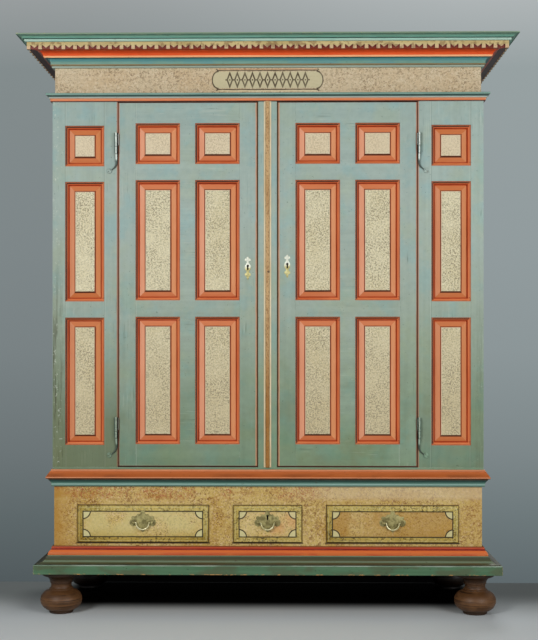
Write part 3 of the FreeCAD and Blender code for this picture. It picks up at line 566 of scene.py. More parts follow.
    def grained(self, colour, grain: Socket, smooth: float, relief: float = 0.3 * MM,
                rise: float = 0.25, **surface: float) -> Material:
        """Close the graph with a roughness and a relief that both follow one grain.

        Args:
            colour: base colour, or a socket.
            grain: the grain, from 0 to 1.
            smooth: roughness where the grain is 0.
            relief: real height of the grain.
            rise: how much rougher it is where the grain is 1.
            surface: what finish takes besides.

        Returns:
            The finished material.
        """
        return self.finish(colour, self.between(grain, smooth, smooth + rise), grain, relief, **surface)

    def brushed(self, colour, run: Socket, smooth: float, **surface: float) -> Material:
        """Close the graph as paint with brush marks along a run."""
        return self.grained(colour, self.noise(run, 1.6, 5.0, 0.6), smooth, **surface)


class Run(Enum):
    """Which way the brush and the grain go, as noise scales by axis (cycles per metre)."""

    UPRIGHT = (95.0, 95.0, 2.6)
    LEVEL = (2.6, 2.6, 95.0)
    INWARD = (95.0, 2.6, 95.0)

    def place(self, graph: Graph) -> Socket:
        """The object's coordinates stretched along this run."""
        return graph.stretched(self.value)


@dataclass(frozen=True)
class Paint:
    """One brushed colour: its body, where it is thin and where it is thick or soiled."""

    body: Rgb
    thin: Rgb
    deep: Rgb

    def tint(self, graph: Graph, run: Socket, shift: float = 0.0) -> Socket:
        """Colour over a surface.

        Args:
            graph: the material's graph.
            run: coordinates stretched along the brush.
            shift: moves the pattern, so that two colours differ.

        Returns:
            The colour socket.
        """
        clouds = graph.patches(0.38, 0.68, graph.moved(shift), 6.0, 4.0)
        streaks = graph.patches(0.40, 0.72, run, 1.0, 4.0, 0.6)
        colour = graph.coat(self.body, self.deep, clouds, 0.7)
        return graph.coat(colour, self.thin, streaks, 0.55)


def paint(body: Tuple[int, int, int], spread: int = 14) -> Paint:
    """A brushed colour from its body alone, a little lighter where thin, darker where thick."""
    def shifted(by: int) -> Rgb:
        """The body moved lighter or darker."""
        return srgb(*(max(4, min(250, level + by)) for level in body))
    return Paint(srgb(*body), shifted(spread), shifted(-spread))


ORANGE = Paint(srgb(210, 134, 92), srgb(222, 156, 120), srgb(202, 112, 62))
OVOLO = Paint(srgb(212, 110, 60), srgb(228, 142, 90), srgb(194, 86, 40))
OXIDE = Paint(srgb(178, 62, 22), srgb(194, 86, 40), srgb(146, 40, 12))
UMBER = Paint(srgb(62, 30, 16), srgb(88, 46, 26), srgb(40, 18, 8))
SIENNA = Paint(srgb(138, 62, 28), srgb(164, 86, 44), srgb(98, 42, 18))
DARK_WOOD = srgb(72, 56, 38)
PALE_WOOD = srgb(206, 184, 142)


class Pine:
    """Unpainted, aged pine."""

    LIGHT = srgb(196, 152, 104)
    DARK = srgb(150, 104, 62)
    KNOT = srgb(104, 66, 38)

    @classmethod
    def tint(cls, graph: Graph, run: Socket) -> Socket:
        """Colour of planed boards, streaked along the grain."""
        rings = graph.noise(run, 0.55, 6.0, 0.62, 1.4)
        fine = graph.noise(run, 3.2, 3.0, 0.6)
        colour = graph.coat(cls.LIGHT, cls.DARK, graph.ease(rings, 0.35, 0.66))
        colour = graph.coat(colour, cls.KNOT, graph.ease(fine, 0.5, 0.8), 0.5)
        stains = graph.patches(0.52, 0.75, graph.place, 2.4, 4.0, 0.6)
        return graph.coat(colour, cls.KNOT, stains, 0.45)

    @classmethod
    def material(cls, name: str, run: Run) -> Material:
        """Bare boards with their grain one way."""
        graph = Graph(name)
        place = run.place(graph)
        return cls.planed(graph, cls.tint(graph, place), place)

    @staticmethod
    def planed(graph: Graph, colour: Socket, run: Socket) -> Material:
        """Close a graph as dull, planed boards with their grain along a run."""
        return graph.grained(colour, graph.noise(run, 2.2, 5.0, 0.6), 0.62, 0.35 * MM, specular=0.25)


class BackBoards:
    """Upright boards of the back, each of its own tone, nailed, over one level board."""

    COUNT = 6
    LEVEL_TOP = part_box("drawer_case_ends")[1].z
    NAIL_FROM_JOINT = 32 * MM
    NAIL_HEIGHTS = (0.50, 1.20, 1.90)
    JOINT = srgb(52, 34, 20)
    NAIL = srgb(46, 34, 28)

    @classmethod
    def material(cls) -> Material:
        """Pine whose grain and tone change from board to board, with dark joints and nail heads."""
        graph = Graph("bare_pine_back")
        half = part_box("end_frame_right")[0].x
        pitch = 2 * half / cls.COUNT
        place = graph.plus(graph.x, half)
        board = graph.math("FLOOR", graph.math("DIVIDE", place, pitch))
        upright = graph.ease(graph.z, cls.LEVEL_TOP - 0.6 * MM, cls.LEVEL_TOP - 0.3 * MM)
        own = graph.node("ShaderNodeCombineXYZ", {"Z": graph.times(board, 3.7)})
        run = graph.vector("ADD", Run.UPRIGHT.place(graph), own.outputs[0])
        run = graph.mix_place(upright, Run.LEVEL.place(graph), run)
        tone = graph.math("FRACT", graph.times(graph.plus(board, 3.0), 0.618))
        tone = graph.times(graph.between(tone, -0.17, 0.17), upright)
        colour = graph.scaled(Pine.tint(graph, run), graph.plus(tone, 1.0))
        from_joint = graph.from_nearest(place, pitch)
        colour = graph.coat(colour, cls.JOINT, graph.ease(from_joint, 2.6 * MM, 0.9 * MM), upright, 0.85)
        outside = graph.ease(graph.y, BACK_Y - 1.0 * MM, BACK_Y - 0.5 * MM)
        across = graph.gap(from_joint, cls.NAIL_FROM_JOINT)
        for height in cls.NAIL_HEIGHTS:
            reach = graph.most(across, graph.gap(graph.z, height))
            colour = graph.coat(colour, cls.NAIL, graph.ease(reach, 3.4 * MM, 2.6 * MM), outside, 0.85)
        return Pine.planed(graph, colour, run)


# ---------------------------------------------------------------- painted frames and panels
class TealPaint:
    """Blue-green milk paint: bluer above, greener and browner below, streaked and scratched."""

    HEIGHTS = (
        (0.50, srgb(114, 136, 108)),
        (0.72, srgb(124, 144, 122)),
        (0.93, srgb(140, 156, 138)),
        (1.16, srgb(151, 165, 152)),
        (1.50, srgb(157, 172, 163)),
        (1.90, srgb(150, 168, 160)),
    )
    OLIVE = srgb(112, 118, 84)
    BLUER = (0.82, 0.98, 1.06, 1.0)
    WARMER = (1.04, 1.0, 0.88, 1.0)
    SCRATCH = srgb(66, 84, 70)
    RUBBED = srgb(196, 202, 188)
    DULL_BELOW = (1.05, 0.62)

    @classmethod
    def tint(cls, graph: Graph, run: Socket) -> Socket:
        """Colour of the blue-green paint, with the brush along the given run."""
        drift = graph.sway(-0.27, 0.28, graph.place, 3.0, 3.0)
        colour = graph.ramp(graph.plus(graph.z, drift), cls.HEIGHTS)
        streaks = graph.noise(run, 1.0, 5.0, 0.62)
        broad = graph.noise(run, 0.32, 3.0)
        mottle = graph.noise(graph.moved(4.0), 42.0, 4.0, 0.6)
        shade = graph.between(streaks, 0.66, 0.80)
        colour = graph.scaled(colour, graph.plus(shade, graph.times(broad, 0.28), graph.times(mottle, 0.26)))
        blue = graph.patches(0.46, 0.66, graph.moved(13.0), 10.0, 4.0, 0.6)
        colour = graph.coat(colour, cls.BLUER, blue, 0.75, blend="MULTIPLY")
        warm = graph.patches(0.46, 0.66, graph.moved(17.0), 7.0, 4.0, 0.6)
        colour = graph.coat(colour, cls.WARMER, warm, 0.7, blend="MULTIPLY")
        low = graph.ease(graph.z, *cls.DULL_BELOW)
        leaning = graph.times(graph.x, graph.between(low, 0.05, 0.18))
        colour = graph.scaled(colour, graph.plus(leaning, 1.0))
        olive = graph.patches(0.47, 0.66, graph.moved(7.0), 4.5, 5.0, 0.65)
        colour = graph.coat(colour, cls.OLIVE, olive, low, 0.5)
        marks = graph.noise(graph.vector("MULTIPLY", run, (2.6, 2.6, 2.6)), 1.0, 2.0, 0.5)
        where = graph.patches(0.54, 0.70, graph.moved(2.0), 9.0, 2.0)
        colour = graph.coat(colour, cls.SCRATCH, graph.ease(marks, 0.63, 0.70), where, 0.5)
        colour = graph.coat(colour, cls.RUBBED, graph.ease(marks, 0.37, 0.31), where, 0.3)
        specks = graph.patches(0.70, 0.76, graph.moved(11.0), 150.0, 2.0, 0.5)
        return graph.coat(colour, cls.SCRATCH, specks, 0.5)

    @classmethod
    def worn(cls, graph: Graph, colour: Socket, amount: float) -> Socket:
        """The paint with its arrises rubbed pale here and there."""
        patches = graph.patches(0.40, 0.65, graph.place, 40.0)
        return graph.coat(colour, cls.RUBBED, graph.arris(2.0 * MM), patches, amount)


@dataclass(frozen=True)
class Sponging:
    """Cream ground dabbed with broken, worm-like marks, with warm clouds in it."""

    ground: Rgb
    pale: Rgb
    warm: Rgb
    mark: Rgb
    mark_scale: float = 74.0
    mark_amount: float = 0.75
    speck_amount: float = 0.5
    warm_amount: float = 0.6
    line: float = 0.085
    pale_amount: float = 0.55

    def tint(self, graph: Graph) -> Socket:
        """Colour of the sponged surface."""
        clouds = graph.patches(0.42, 0.70, graph.place, 7.0, 3.0)
        colour = graph.coat(self.ground, self.warm, clouds, self.warm_amount)
        pale = graph.patches(0.50, 0.66, graph.moved(5.0), 120.0, 3.0)
        colour = graph.coat(colour, self.pale, pale, self.pale_amount)
        contour = graph.noise(graph.place, self.mark_scale, 1.5, 0.6, 1.2)
        worm = graph.ease(graph.gap(contour, 0.5), self.line, self.line * 0.45)
        breaks = graph.patches(0.45, 0.55, graph.moved(9.0), self.mark_scale * 1.1, 2.0)
        thick = graph.between(graph.patches(0.30, 0.62, graph.moved(1.0), 11.0, 3.0), 0.4, 1.0)
        colour = graph.coat(colour, self.mark, worm, breaks, thick, self.mark_amount)
        specks = graph.patches(0.58, 0.66, graph.moved(3.0), 240.0, 2.0, 0.5)
        patches = graph.patches(0.42, 0.58, graph.moved(8.0), 14.0, 2.0)
        return graph.coat(colour, self.mark, specks, patches, self.speck_amount)


FIELD_SPONGING = Sponging(srgb(209, 203, 167), srgb(230, 226, 198), srgb(198, 188, 142),
                          srgb(72, 70, 34), 158.0, 1.0, 0.75, line=0.105)
FRIEZE_SPONGING = Sponging(srgb(198, 180, 148), srgb(216, 202, 174), srgb(190, 164, 126),
                           srgb(104, 80, 48), 96.0, 0.70, 0.6, 0.6, 0.070, 0.45)
CASE_SPONGING = Sponging(srgb(199, 171, 102), srgb(216, 190, 150), srgb(180, 141, 56),
                         srgb(118, 70, 26), 96.0, 0.80, 0.95, 0.8, 0.080, 0.60)
DRAWER_SPONGING = Sponging(srgb(208, 184, 120), srgb(224, 198, 160), srgb(196, 160, 74),
                           srgb(104, 72, 26), 104.0, 0.72, 0.95, 0.7, 0.070, 0.60)
BORDER_SPONGING = Sponging(srgb(195, 172, 94), srgb(208, 198, 146), srgb(160, 140, 54),
                           srgb(78, 60, 12), 112.0, 0.95, 1.0, 0.7, 0.090, 0.60)


class FrameAxis(Enum):
    """Which way a panelled frame faces."""

    FRONT = "front"
    END = "end"


def depth_in(graph: Graph, axis: FrameAxis) -> Socket:
    """How far a point lies behind the face of its frame, in metres."""
    if axis is FrameAxis.FRONT:
        return graph.less(graph.y, FRONT_Y)
    return graph.less(CASE_HALF, graph.aside)


def crossing_run(graph: Graph) -> Socket:
    """Coordinates for a brush that follows sloping faces round an opening."""
    level = graph.ease(graph.math("ABSOLUTE", graph.normal_z), 0.05, 0.12)
    return graph.mix_place(level, Run.UPRIGHT.place(graph), Run.LEVEL.place(graph))


class Edging(Enum):
    """How a frame's outer margins are worn."""

    NONE = 0
    DOOR = 1
    CORNER = 2


@dataclass(frozen=True)
class FrameFinish:
    """Blue-green frame with red-orange ovolos round its openings."""

    name: str
    run: Run
    axis: FrameAxis
    seams: Tuple[float, ...] = ()
    edging: Edging = Edging.NONE

    EDGE = srgb(168, 106, 76)
    EDGE_LIGHT = srgb(204, 140, 102)
    # The next two colours are painted shade of the gaps round a door.
    GAP_SHADE = srgb(92, 64, 34)
    EDGE_SHADE = srgb(84, 36, 20)
    SOIL = srgb(64, 66, 42)
    QUIRK_FROM = (0.2 * MM, 0.5 * MM)
    OVOLO_FROM = (2.3 * MM, 3.0 * MM)
    GROOVE_FROM = (5.4 * MM, 7.4 * MM)
    QUIRK_WIDER = 1.2 * MM

    def material(self) -> Material:
        """Face, quirk, ovolo and bare back, told apart by depth."""
        graph = Graph(self.name)
        depth = depth_in(graph, self.axis)
        run = self.run.place(graph)
        colour = TealPaint.worn(graph, TealPaint.tint(graph, run), 0.55)
        colour = self.jointed(graph, colour)
        if self.edging is Edging.DOOR:
            colour = self.edged(graph, colour)
        if self.edging is Edging.CORNER:
            colour = self.cornered(graph, colour)
        moulded = crossing_run(graph)
        ovolo = OVOLO.tint(graph, moulded)
        # Painted shade: on an opening's upper and left-hand sides the quirk turns dark umber, the dark line
        # is widened into the ovolo, and the ovolo is darkened with oxide red.
        shaded = self.shaded_side(graph)
        quirk = graph.coat(ovolo, UMBER.tint(graph, moulded), graph.between(shaded, 0.3, 1.0))
        colour = graph.coat(colour, quirk, graph.ease(depth, *self.QUIRK_FROM))
        ovolo = graph.coat(ovolo, OXIDE.tint(graph, moulded), shaded, 0.3)
        past = graph.less(depth, graph.times(shaded, self.QUIRK_WIDER))
        colour = graph.coat(colour, ovolo, graph.ease(past, *self.OVOLO_FROM))
        # Oxide red where the ovolo runs down into the panel's groove: partly a red paint line and partly
        # painted shade of that crease.
        colour = graph.coat(colour, OXIDE.tint(graph, moulded), graph.ease(depth, *self.GROOVE_FROM))
        if self.axis is FrameAxis.FRONT:
            outer = graph.ease(graph.aside, CASE_HALF - 2 * MM, CASE_HALF - 1 * MM)
            colour = graph.coat(colour, TealPaint.tint(graph, run), outer)
        bare = graph.ease(depth, FRAME_T - 0.6 * MM, FRAME_T - 0.3 * MM)
        if self.axis is FrameAxis.END:
            bare = graph.most(bare, graph.ease(graph.y, BACK_Y - 0.8 * MM, BACK_Y - 0.4 * MM))
        colour = graph.coat(colour, Pine.tint(graph, run), bare)
        return graph.brushed(colour, run, 0.42, relief=0.35 * MM)

    def shaded_side(self, graph: Graph) -> Socket:
        """1 on the upper and left-hand sides of an opening, where the quirk and ovolo take painted shade."""
        right, back, up = graph.facing(3.0 * MM)
        across = right if self.axis is FrameAxis.FRONT else back
        return graph.most(graph.ease(across, 0.06, 0.22), graph.ease(up, -0.06, -0.22))

    def cornered(self, graph: Graph, colour: Socket) -> Socket:
        """Soiled, rubbed paint along the case's outer corners, most of it low on the left."""
        low = graph.ease(graph.z, 1.45, 0.85)
        left = graph.between(graph.ease(graph.x, 0.0, -0.01), 0.25, 1.0)
        waver = graph.sway(-25 * MM, 25 * MM, graph.place, 14.0, 4.0)
        reach = graph.plus(graph.aside, waver)
        margin = graph.ease(reach, CASE_HALF - 50 * MM, CASE_HALF - 8 * MM)
        streaks = graph.patches(0.44, 0.60, graph.stretched((130.0, 130.0, 7.0)), 1.0, 4.0, 0.7)
        jamb = graph.ease(graph.aside, DOOR_OUTER + 7.4 * MM, DOOR_OUTER + 6.0 * MM)
        colour = graph.coat(colour, self.EDGE, jamb, 0.8)
        dulled = graph.ease(graph.z, *TealPaint.DULL_BELOW)
        colour = graph.coat(colour, TealPaint.OLIVE, dulled, left, 0.5)
        colour = graph.scaled(colour, graph.between(dulled, 1.0, 0.87))
        colour = graph.coat(colour, TealPaint.OLIVE, margin, low, left, 0.45)
        colour = graph.coat(colour, self.SOIL, streaks, margin, low, left, 0.8)
        chips = graph.patches(0.60, 0.66, graph.moved(21.0), 90.0, 4.0, 0.7)
        return graph.coat(colour, TealPaint.RUBBED, chips, margin, left, 0.7)

    def jointed(self, graph: Graph, colour: Socket) -> Socket:
        """A fine dark line where the paint has cracked over each joint, with a pale line beside it that is a
        painted highlight.
        """
        across = graph.aside if self.axis is FrameAxis.FRONT else graph.y
        for seam in self.seams:
            line = graph.ease(graph.gap(across, seam), 1.0 * MM, 0.3 * MM)
            # Painted highlight: a pale line beside the crack.
            lit = graph.ease(graph.gap(across, seam - 2.6 * MM), 1.6 * MM, 0.5 * MM)
            colour = graph.coat(colour, TealPaint.RUBBED, lit, 0.25)
            colour = graph.coat(colour, TealPaint.SCRATCH, line, 0.5)
        return colour

    def edged(self, graph: Graph, colour: Socket) -> Socket:
        """Rubbed, orange-brown margins along a door's upright edges, darker towards every edge; the darkest
        bands, along the inner edge and at both ends, are painted shade of the gaps.
        """
        across = graph.aside
        waver = graph.sway(-1.5 * MM, 1.5 * MM, graph.place, 26.0, 3.0)
        inner = graph.less(graph.plus(across, waver), DOOR_INNER)
        outer = graph.less(graph.plus(waver, DOOR_OUTER), across)
        colour = graph.coat(colour, self.EDGE_LIGHT, graph.ease(inner, 8.6 * MM, 7.4 * MM), 0.75)
        # Painted shade of the gap beside the centre stile.
        colour = graph.coat(colour, self.GAP_SHADE, graph.ease(inner, 4.6 * MM, 3.4 * MM))
        margin = graph.scaled(self.EDGE, graph.between(graph.ease(graph.z, 0.9, 1.5), 0.5, 1.0))
        colour = graph.coat(colour, margin, graph.ease(outer, 4.4 * MM, 3.0 * MM), 0.9)
        # Painted shadow of the gaps above and below the door.
        above = graph.times(graph.less(DOOR_HIGH, graph.z), 1.4)
        ends = graph.math("MINIMUM", above, graph.less(graph.z, DOOR_LOW))
        return graph.coat(colour, self.EDGE_SHADE, graph.ease(ends, 3.2 * MM, 1.8 * MM))


@dataclass(frozen=True)
class PanelFinish:
    """Raised panel: orange bevel, umber line round the field, sponged cream field."""

    name: str
    axis: FrameAxis
    small_from: float = 1.64
    soiled_from: float = 1.30
    soiled_to: float = 0.70

    # The pale rim colour is a painted highlight on the field's upper and left-hand edges.
    RIM = srgb(230, 210, 180)
    BLUSH = srgb(208, 184, 154)
    # These four colours tint the bevel by the way each side faces, as painted light and shade.
    PINK = srgb(222, 158, 124)
    OCHRE = srgb(214, 144, 90)
    RUST = srgb(204, 116, 70)
    BRICK = srgb(198, 106, 58)
    AMBER = srgb(186, 104, 40)
    SUNNED = srgb(210, 112, 62)
    SOILED = srgb(228, 220, 204)
    RIM_FROM = (4.95 * MM, 5.1 * MM)
    OUTLINE_FROM = (6.4 * MM, 6.8 * MM)
    BEVEL_FROM = (9.5 * MM, 9.75 * MM)
    TONGUE_FROM = (14.1 * MM, 14.9 * MM)
    BACK_FROM = (20.4 * MM, 20.7 * MM)
    # How far painted shadow widens the outline on the field's lower and right-hand sides.
    OUTLINE_INWARDS = 1.0 * MM
    OUTLINE_OUTWARDS = 0.45 * MM

    def material(self) -> Material:
        """Bevel, step, field and bare back, told apart by depth."""
        graph = Graph(self.name)
        depth = depth_in(graph, self.axis)
        run = crossing_run(graph)
        across = graph.normal_x if self.axis is FrameAxis.FRONT else graph.normal_y
        # Painted shadow of the raised field: its lower and right-hand sides lose the pale rim and take a
        # wider dark outline, umber on the lower side; the pale rim left on the other sides is a painted
        # highlight.
        lower = graph.ease(graph.normal_z, -0.08, -0.18)
        right = graph.ease(across, 0.08, 0.18)
        dark = graph.most(lower, graph.times(right, 0.6))
        field = graph.coat(self.ground(graph), self.rimmed_with_highlight(graph, depth), graph.less(1.0, dark))
        outlined = graph.plus(depth, graph.times(dark, self.OUTLINE_INWARDS))
        outline = graph.coat(SIENNA.tint(graph, run), UMBER.tint(graph, run), lower, 0.75)
        colour = graph.coat(field, outline, graph.ease(outlined, *self.OUTLINE_FROM))
        bevel = self.bevel(graph, run, across, lower, right)
        # Oxide red where the bevel runs into the frame's groove: partly red paint and partly painted shade
        # of that crease.
        bevel = graph.coat(bevel, OXIDE.tint(graph, run), graph.ease(depth, *self.TONGUE_FROM))
        past = graph.less(depth, graph.times(dark, self.OUTLINE_OUTWARDS))
        colour = graph.coat(colour, bevel, graph.ease(past, *self.BEVEL_FROM))
        pine = Pine.tint(graph, Run.UPRIGHT.place(graph))
        colour = graph.coat(colour, pine, graph.ease(depth, *self.BACK_FROM))
        return graph.brushed(colour, run, 0.40)

    def ground(self, graph: Graph) -> Socket:
        """Sponged field, nearly plain in the small top panels and browner lower down."""
        ground = FIELD_SPONGING.tint(graph)
        small = graph.ease(graph.z, self.small_from, self.small_from + 10 * MM)
        ground = graph.coat(ground, self.BLUSH, small, 0.5)
        soiled = graph.ease(graph.z, self.soiled_from, self.soiled_to)
        return graph.coat(ground, self.SOILED, soiled, 0.9, blend="MULTIPLY")

    def rimmed_with_highlight(self, graph: Graph, depth: Socket) -> Socket:
        """The field with its pale rim, a painted highlight."""
        rim = graph.most(graph.times(graph.arris(3.0 * MM), 0.8), graph.ease(depth, *self.RIM_FROM))
        return graph.coat(self.ground(graph), self.RIM, rim)

    def bevel(self, graph: Graph, run: Socket, across: Socket, lower: Socket, right: Socket) -> Socket:
        """Orange bevel, tinted by the way each side faces as painted light and shade: pinker on the left,
        ochre on the right, rust above, brick red below.
        """
        colour = ORANGE.tint(graph, run)
        sun = graph.patches(0.40, 0.68, graph.moved(6.0), 8.0, 3.0)
        colour = graph.coat(colour, self.SUNNED, sun, 0.35)
        # Painted light and shade by facing: each side of the bevel takes its own tint.
        left = graph.ease(across, -0.08, -0.18)
        upper = graph.ease(graph.normal_z, 0.08, 0.18)
        patches = graph.sway(0.1, 1.0, graph.moved(15.0), 4.0, 3.0)
        colour = graph.coat(colour, self.PINK, left, patches)
        colour = graph.coat(colour, self.OCHRE, right, patches)
        colour = graph.coat(colour, self.RUST, upper, 0.75)
        colour = graph.coat(colour, self.BRICK, lower, patches, 1.2)
        beside = graph.ease(graph.aside, DOOR_OUTER, DOOR_OUTER + 10 * MM)
        return graph.coat(colour, self.AMBER, beside, 0.4)


@dataclass(frozen=True)
class PlainTeal:
    """Blue-green boards with no moulded work, bare where they face inwards."""

    name: str
    run: Run

    def material(self) -> Material:
        """Painted face, bare back."""
        graph = Graph(self.name)
        run = self.run.place(graph)
        colour = TealPaint.worn(graph, TealPaint.tint(graph, run), 0.5)
        depth = depth_in(graph, FrameAxis.FRONT)
        colour = graph.coat(colour, DARK_WOOD, graph.ease(depth, 0.5 * MM, 4 * MM))
        colour = graph.coat(colour, Pine.tint(graph, run), graph.ease(depth, 16 * MM, 20 * MM))
        return graph.brushed(colour, run, 0.42, relief=0.35 * MM)


class BeadFinish:
    """Centre bead: cream fillets and flanks, a dabbed ochre-brown crest that is darker low down."""

    FILLET = Paint(srgb(226, 208, 172), srgb(240, 230, 204), srgb(200, 168, 118))
    ROUND = Paint(srgb(190, 154, 106), srgb(214, 184, 136), srgb(168, 128, 78))
    ROUND_HALF = 8.2 * MM
    LOW = srgb(206, 176, 116)
    DAB = srgb(112, 74, 34)
    KNOT = (0.0033, 0.0, 1.266)

    @classmethod
    def material(cls) -> Material:
        """Fillets and crest, told apart across their width."""
        graph = Graph("bead_paint")
        run = graph.stretched((120.0, 120.0, 9.0))
        waver = graph.sway(-1 * MM, 1 * MM, graph.place, 30.0, 3.0)
        reach = graph.plus(graph.aside, waver)
        crest = cls.ROUND.tint(graph, run, 3.0)
        crest = graph.coat(crest, graph.coat(crest, cls.LOW, 1.0, blend="MULTIPLY"),
                           graph.ease(graph.z, 1.15, 0.7))
        dabs = graph.patches(0.52, 0.60, graph.stretched((1, 1, 0.7), 5.0), 190.0, 3.0)
        crest = graph.coat(crest, cls.DAB, dabs, 0.55)
        colour = graph.coat(cls.FILLET.tint(graph, run), crest,
                            graph.ease(reach, cls.ROUND_HALF, cls.ROUND_HALF - 0.8 * MM))
        knot_place = graph.vector("SUBTRACT", graph.vector("MULTIPLY", graph.place, (1, 0, 1)), cls.KNOT)
        knot = graph.ease(graph.dot(knot_place, knot_place), 36 * MM ** 2, 9 * MM ** 2)
        colour = graph.coat(colour, UMBER.body, knot, 0.85)
        return graph.grained(colour, graph.noise(run, 1.0, 4.0), 0.40)


# ---------------------------------------------------------------- sponged boards
def bared(graph: Graph, colour: Socket, face_y: float, end_skin: float) -> Socket:
    """Boards painted outside and left bare inside.

    Args:
        graph: the boards' graph.
        colour: their paint.
        face_y: where the front boards' face lies.
        end_skin: how far in from the case's ends the paint still counts.

    Returns:
        The colour socket.
    """
    behind = graph.ease(graph.y, face_y + 2 * MM, face_y + 3 * MM)
    within = graph.ease(graph.aside, CASE_HALF - end_skin, CASE_HALF - end_skin - 1 * MM)
    return graph.coat(colour, Pine.tint(graph, Run.LEVEL.place(graph)), behind, within)


def level_boards(graph: Graph, colour: Socket, smooth: float) -> Material:
    """Close a graph as painted boards whose grain lies level."""
    return graph.grained(colour, graph.noise(Run.LEVEL.place(graph), 1.4, 4.0), smooth)


@dataclass(frozen=True)
class BoardFinish:
    """Sponged boards of the drawer case, warmer and more rubbed towards the corners."""

    name: str
    sponging: Sponging
    corner: Rgb = srgb(166, 116, 30)

    SWIRL = srgb(160, 72, 36)
    PALER = srgb(208, 186, 150)
    RUBBED = srgb(214, 190, 148)
    # Painted shadow round the drawers' lips, with dust.
    SHADOW_AND_GRIME = srgb(50, 30, 14)
    OVER_DRAWERS = (0.412, 0.436)
    BAND_TOP = (0.462, 0.440)

    def material(self) -> Material:
        """Sponged outside and bare inside."""
        graph = Graph(self.name)
        colour = self.sponging.tint(graph)
        drift = graph.sway(-80 * MM, 80 * MM, graph.place, 9.0, 3.0)
        corner = graph.ease(graph.plus(graph.aside, drift), CASE_HALF - 120 * MM, CASE_HALF)
        on_left = graph.between(graph.ease(graph.x, 0.0, -0.01), 0.3, 0.8)
        colour = graph.coat(colour, self.corner, corner, on_left)
        colour = graph.coat(colour, self.RUBBED, graph.arris(2 * MM), 0.4)
        above = graph.ease(graph.z, *self.OVER_DRAWERS)
        streaks = graph.patches(0.42, 0.62, graph.stretched((3.0, 1.0, 30.0)), 1.0, 4.0)
        band = graph.times(above, graph.ease(graph.z, *self.BAND_TOP), streaks)
        colour = graph.coat(colour, self.corner, band, 0.45)
        colour = graph.coat(colour, self.PALER, above, graph.ease(graph.x, 0.0, 0.30), 0.5)
        contour = graph.noise(graph.moved(23.0), 58.0, 1.5, 0.6, 1.6)
        worms = graph.ease(graph.gap(contour, 0.5), 0.050, 0.025)
        where = graph.patches(0.40, 0.52, graph.moved(27.0), 8.0, 2.0)
        colour = graph.coat(colour, self.SWIRL, worms, where, above, graph.ease(graph.x, 0.30, 0.10), 0.7)
        colour = bared(graph, self.shadowed_and_grimed(graph, colour), DRAWER_FACE_Y, 6.5 * MM)
        return level_boards(graph, colour, 0.42)

    @classmethod
    def shadowed_and_grimed(cls, graph: Graph, colour: Socket) -> Socket:
        """Dark lines round the drawers' lips, wider underneath: painted shadow of the lips, with dust in it.
        """
        for name in DRAWERS:
            low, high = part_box("drawer_front_" + name)
            middle, half = (low + high) / 2, (high - low) / 2
            across = graph.less(graph.gap(graph.x, middle.x), half.x)
            rise = graph.less(graph.gap(graph.z, middle.z), half.z)
            under = graph.ease(graph.z, low.z + 1 * MM, low.z - 1 * MM)
            reach = graph.between(under, 2.4 * MM, 7.0 * MM)
            share = graph.math("DIVIDE", graph.most(across, rise), reach)
            # Painted shadow and dust: a dark band round each lip, widest beneath it.
            colour = graph.coat(colour, cls.SHADOW_AND_GRIME, graph.ease(share, 1.0, 0.45), 0.88)
        return colour


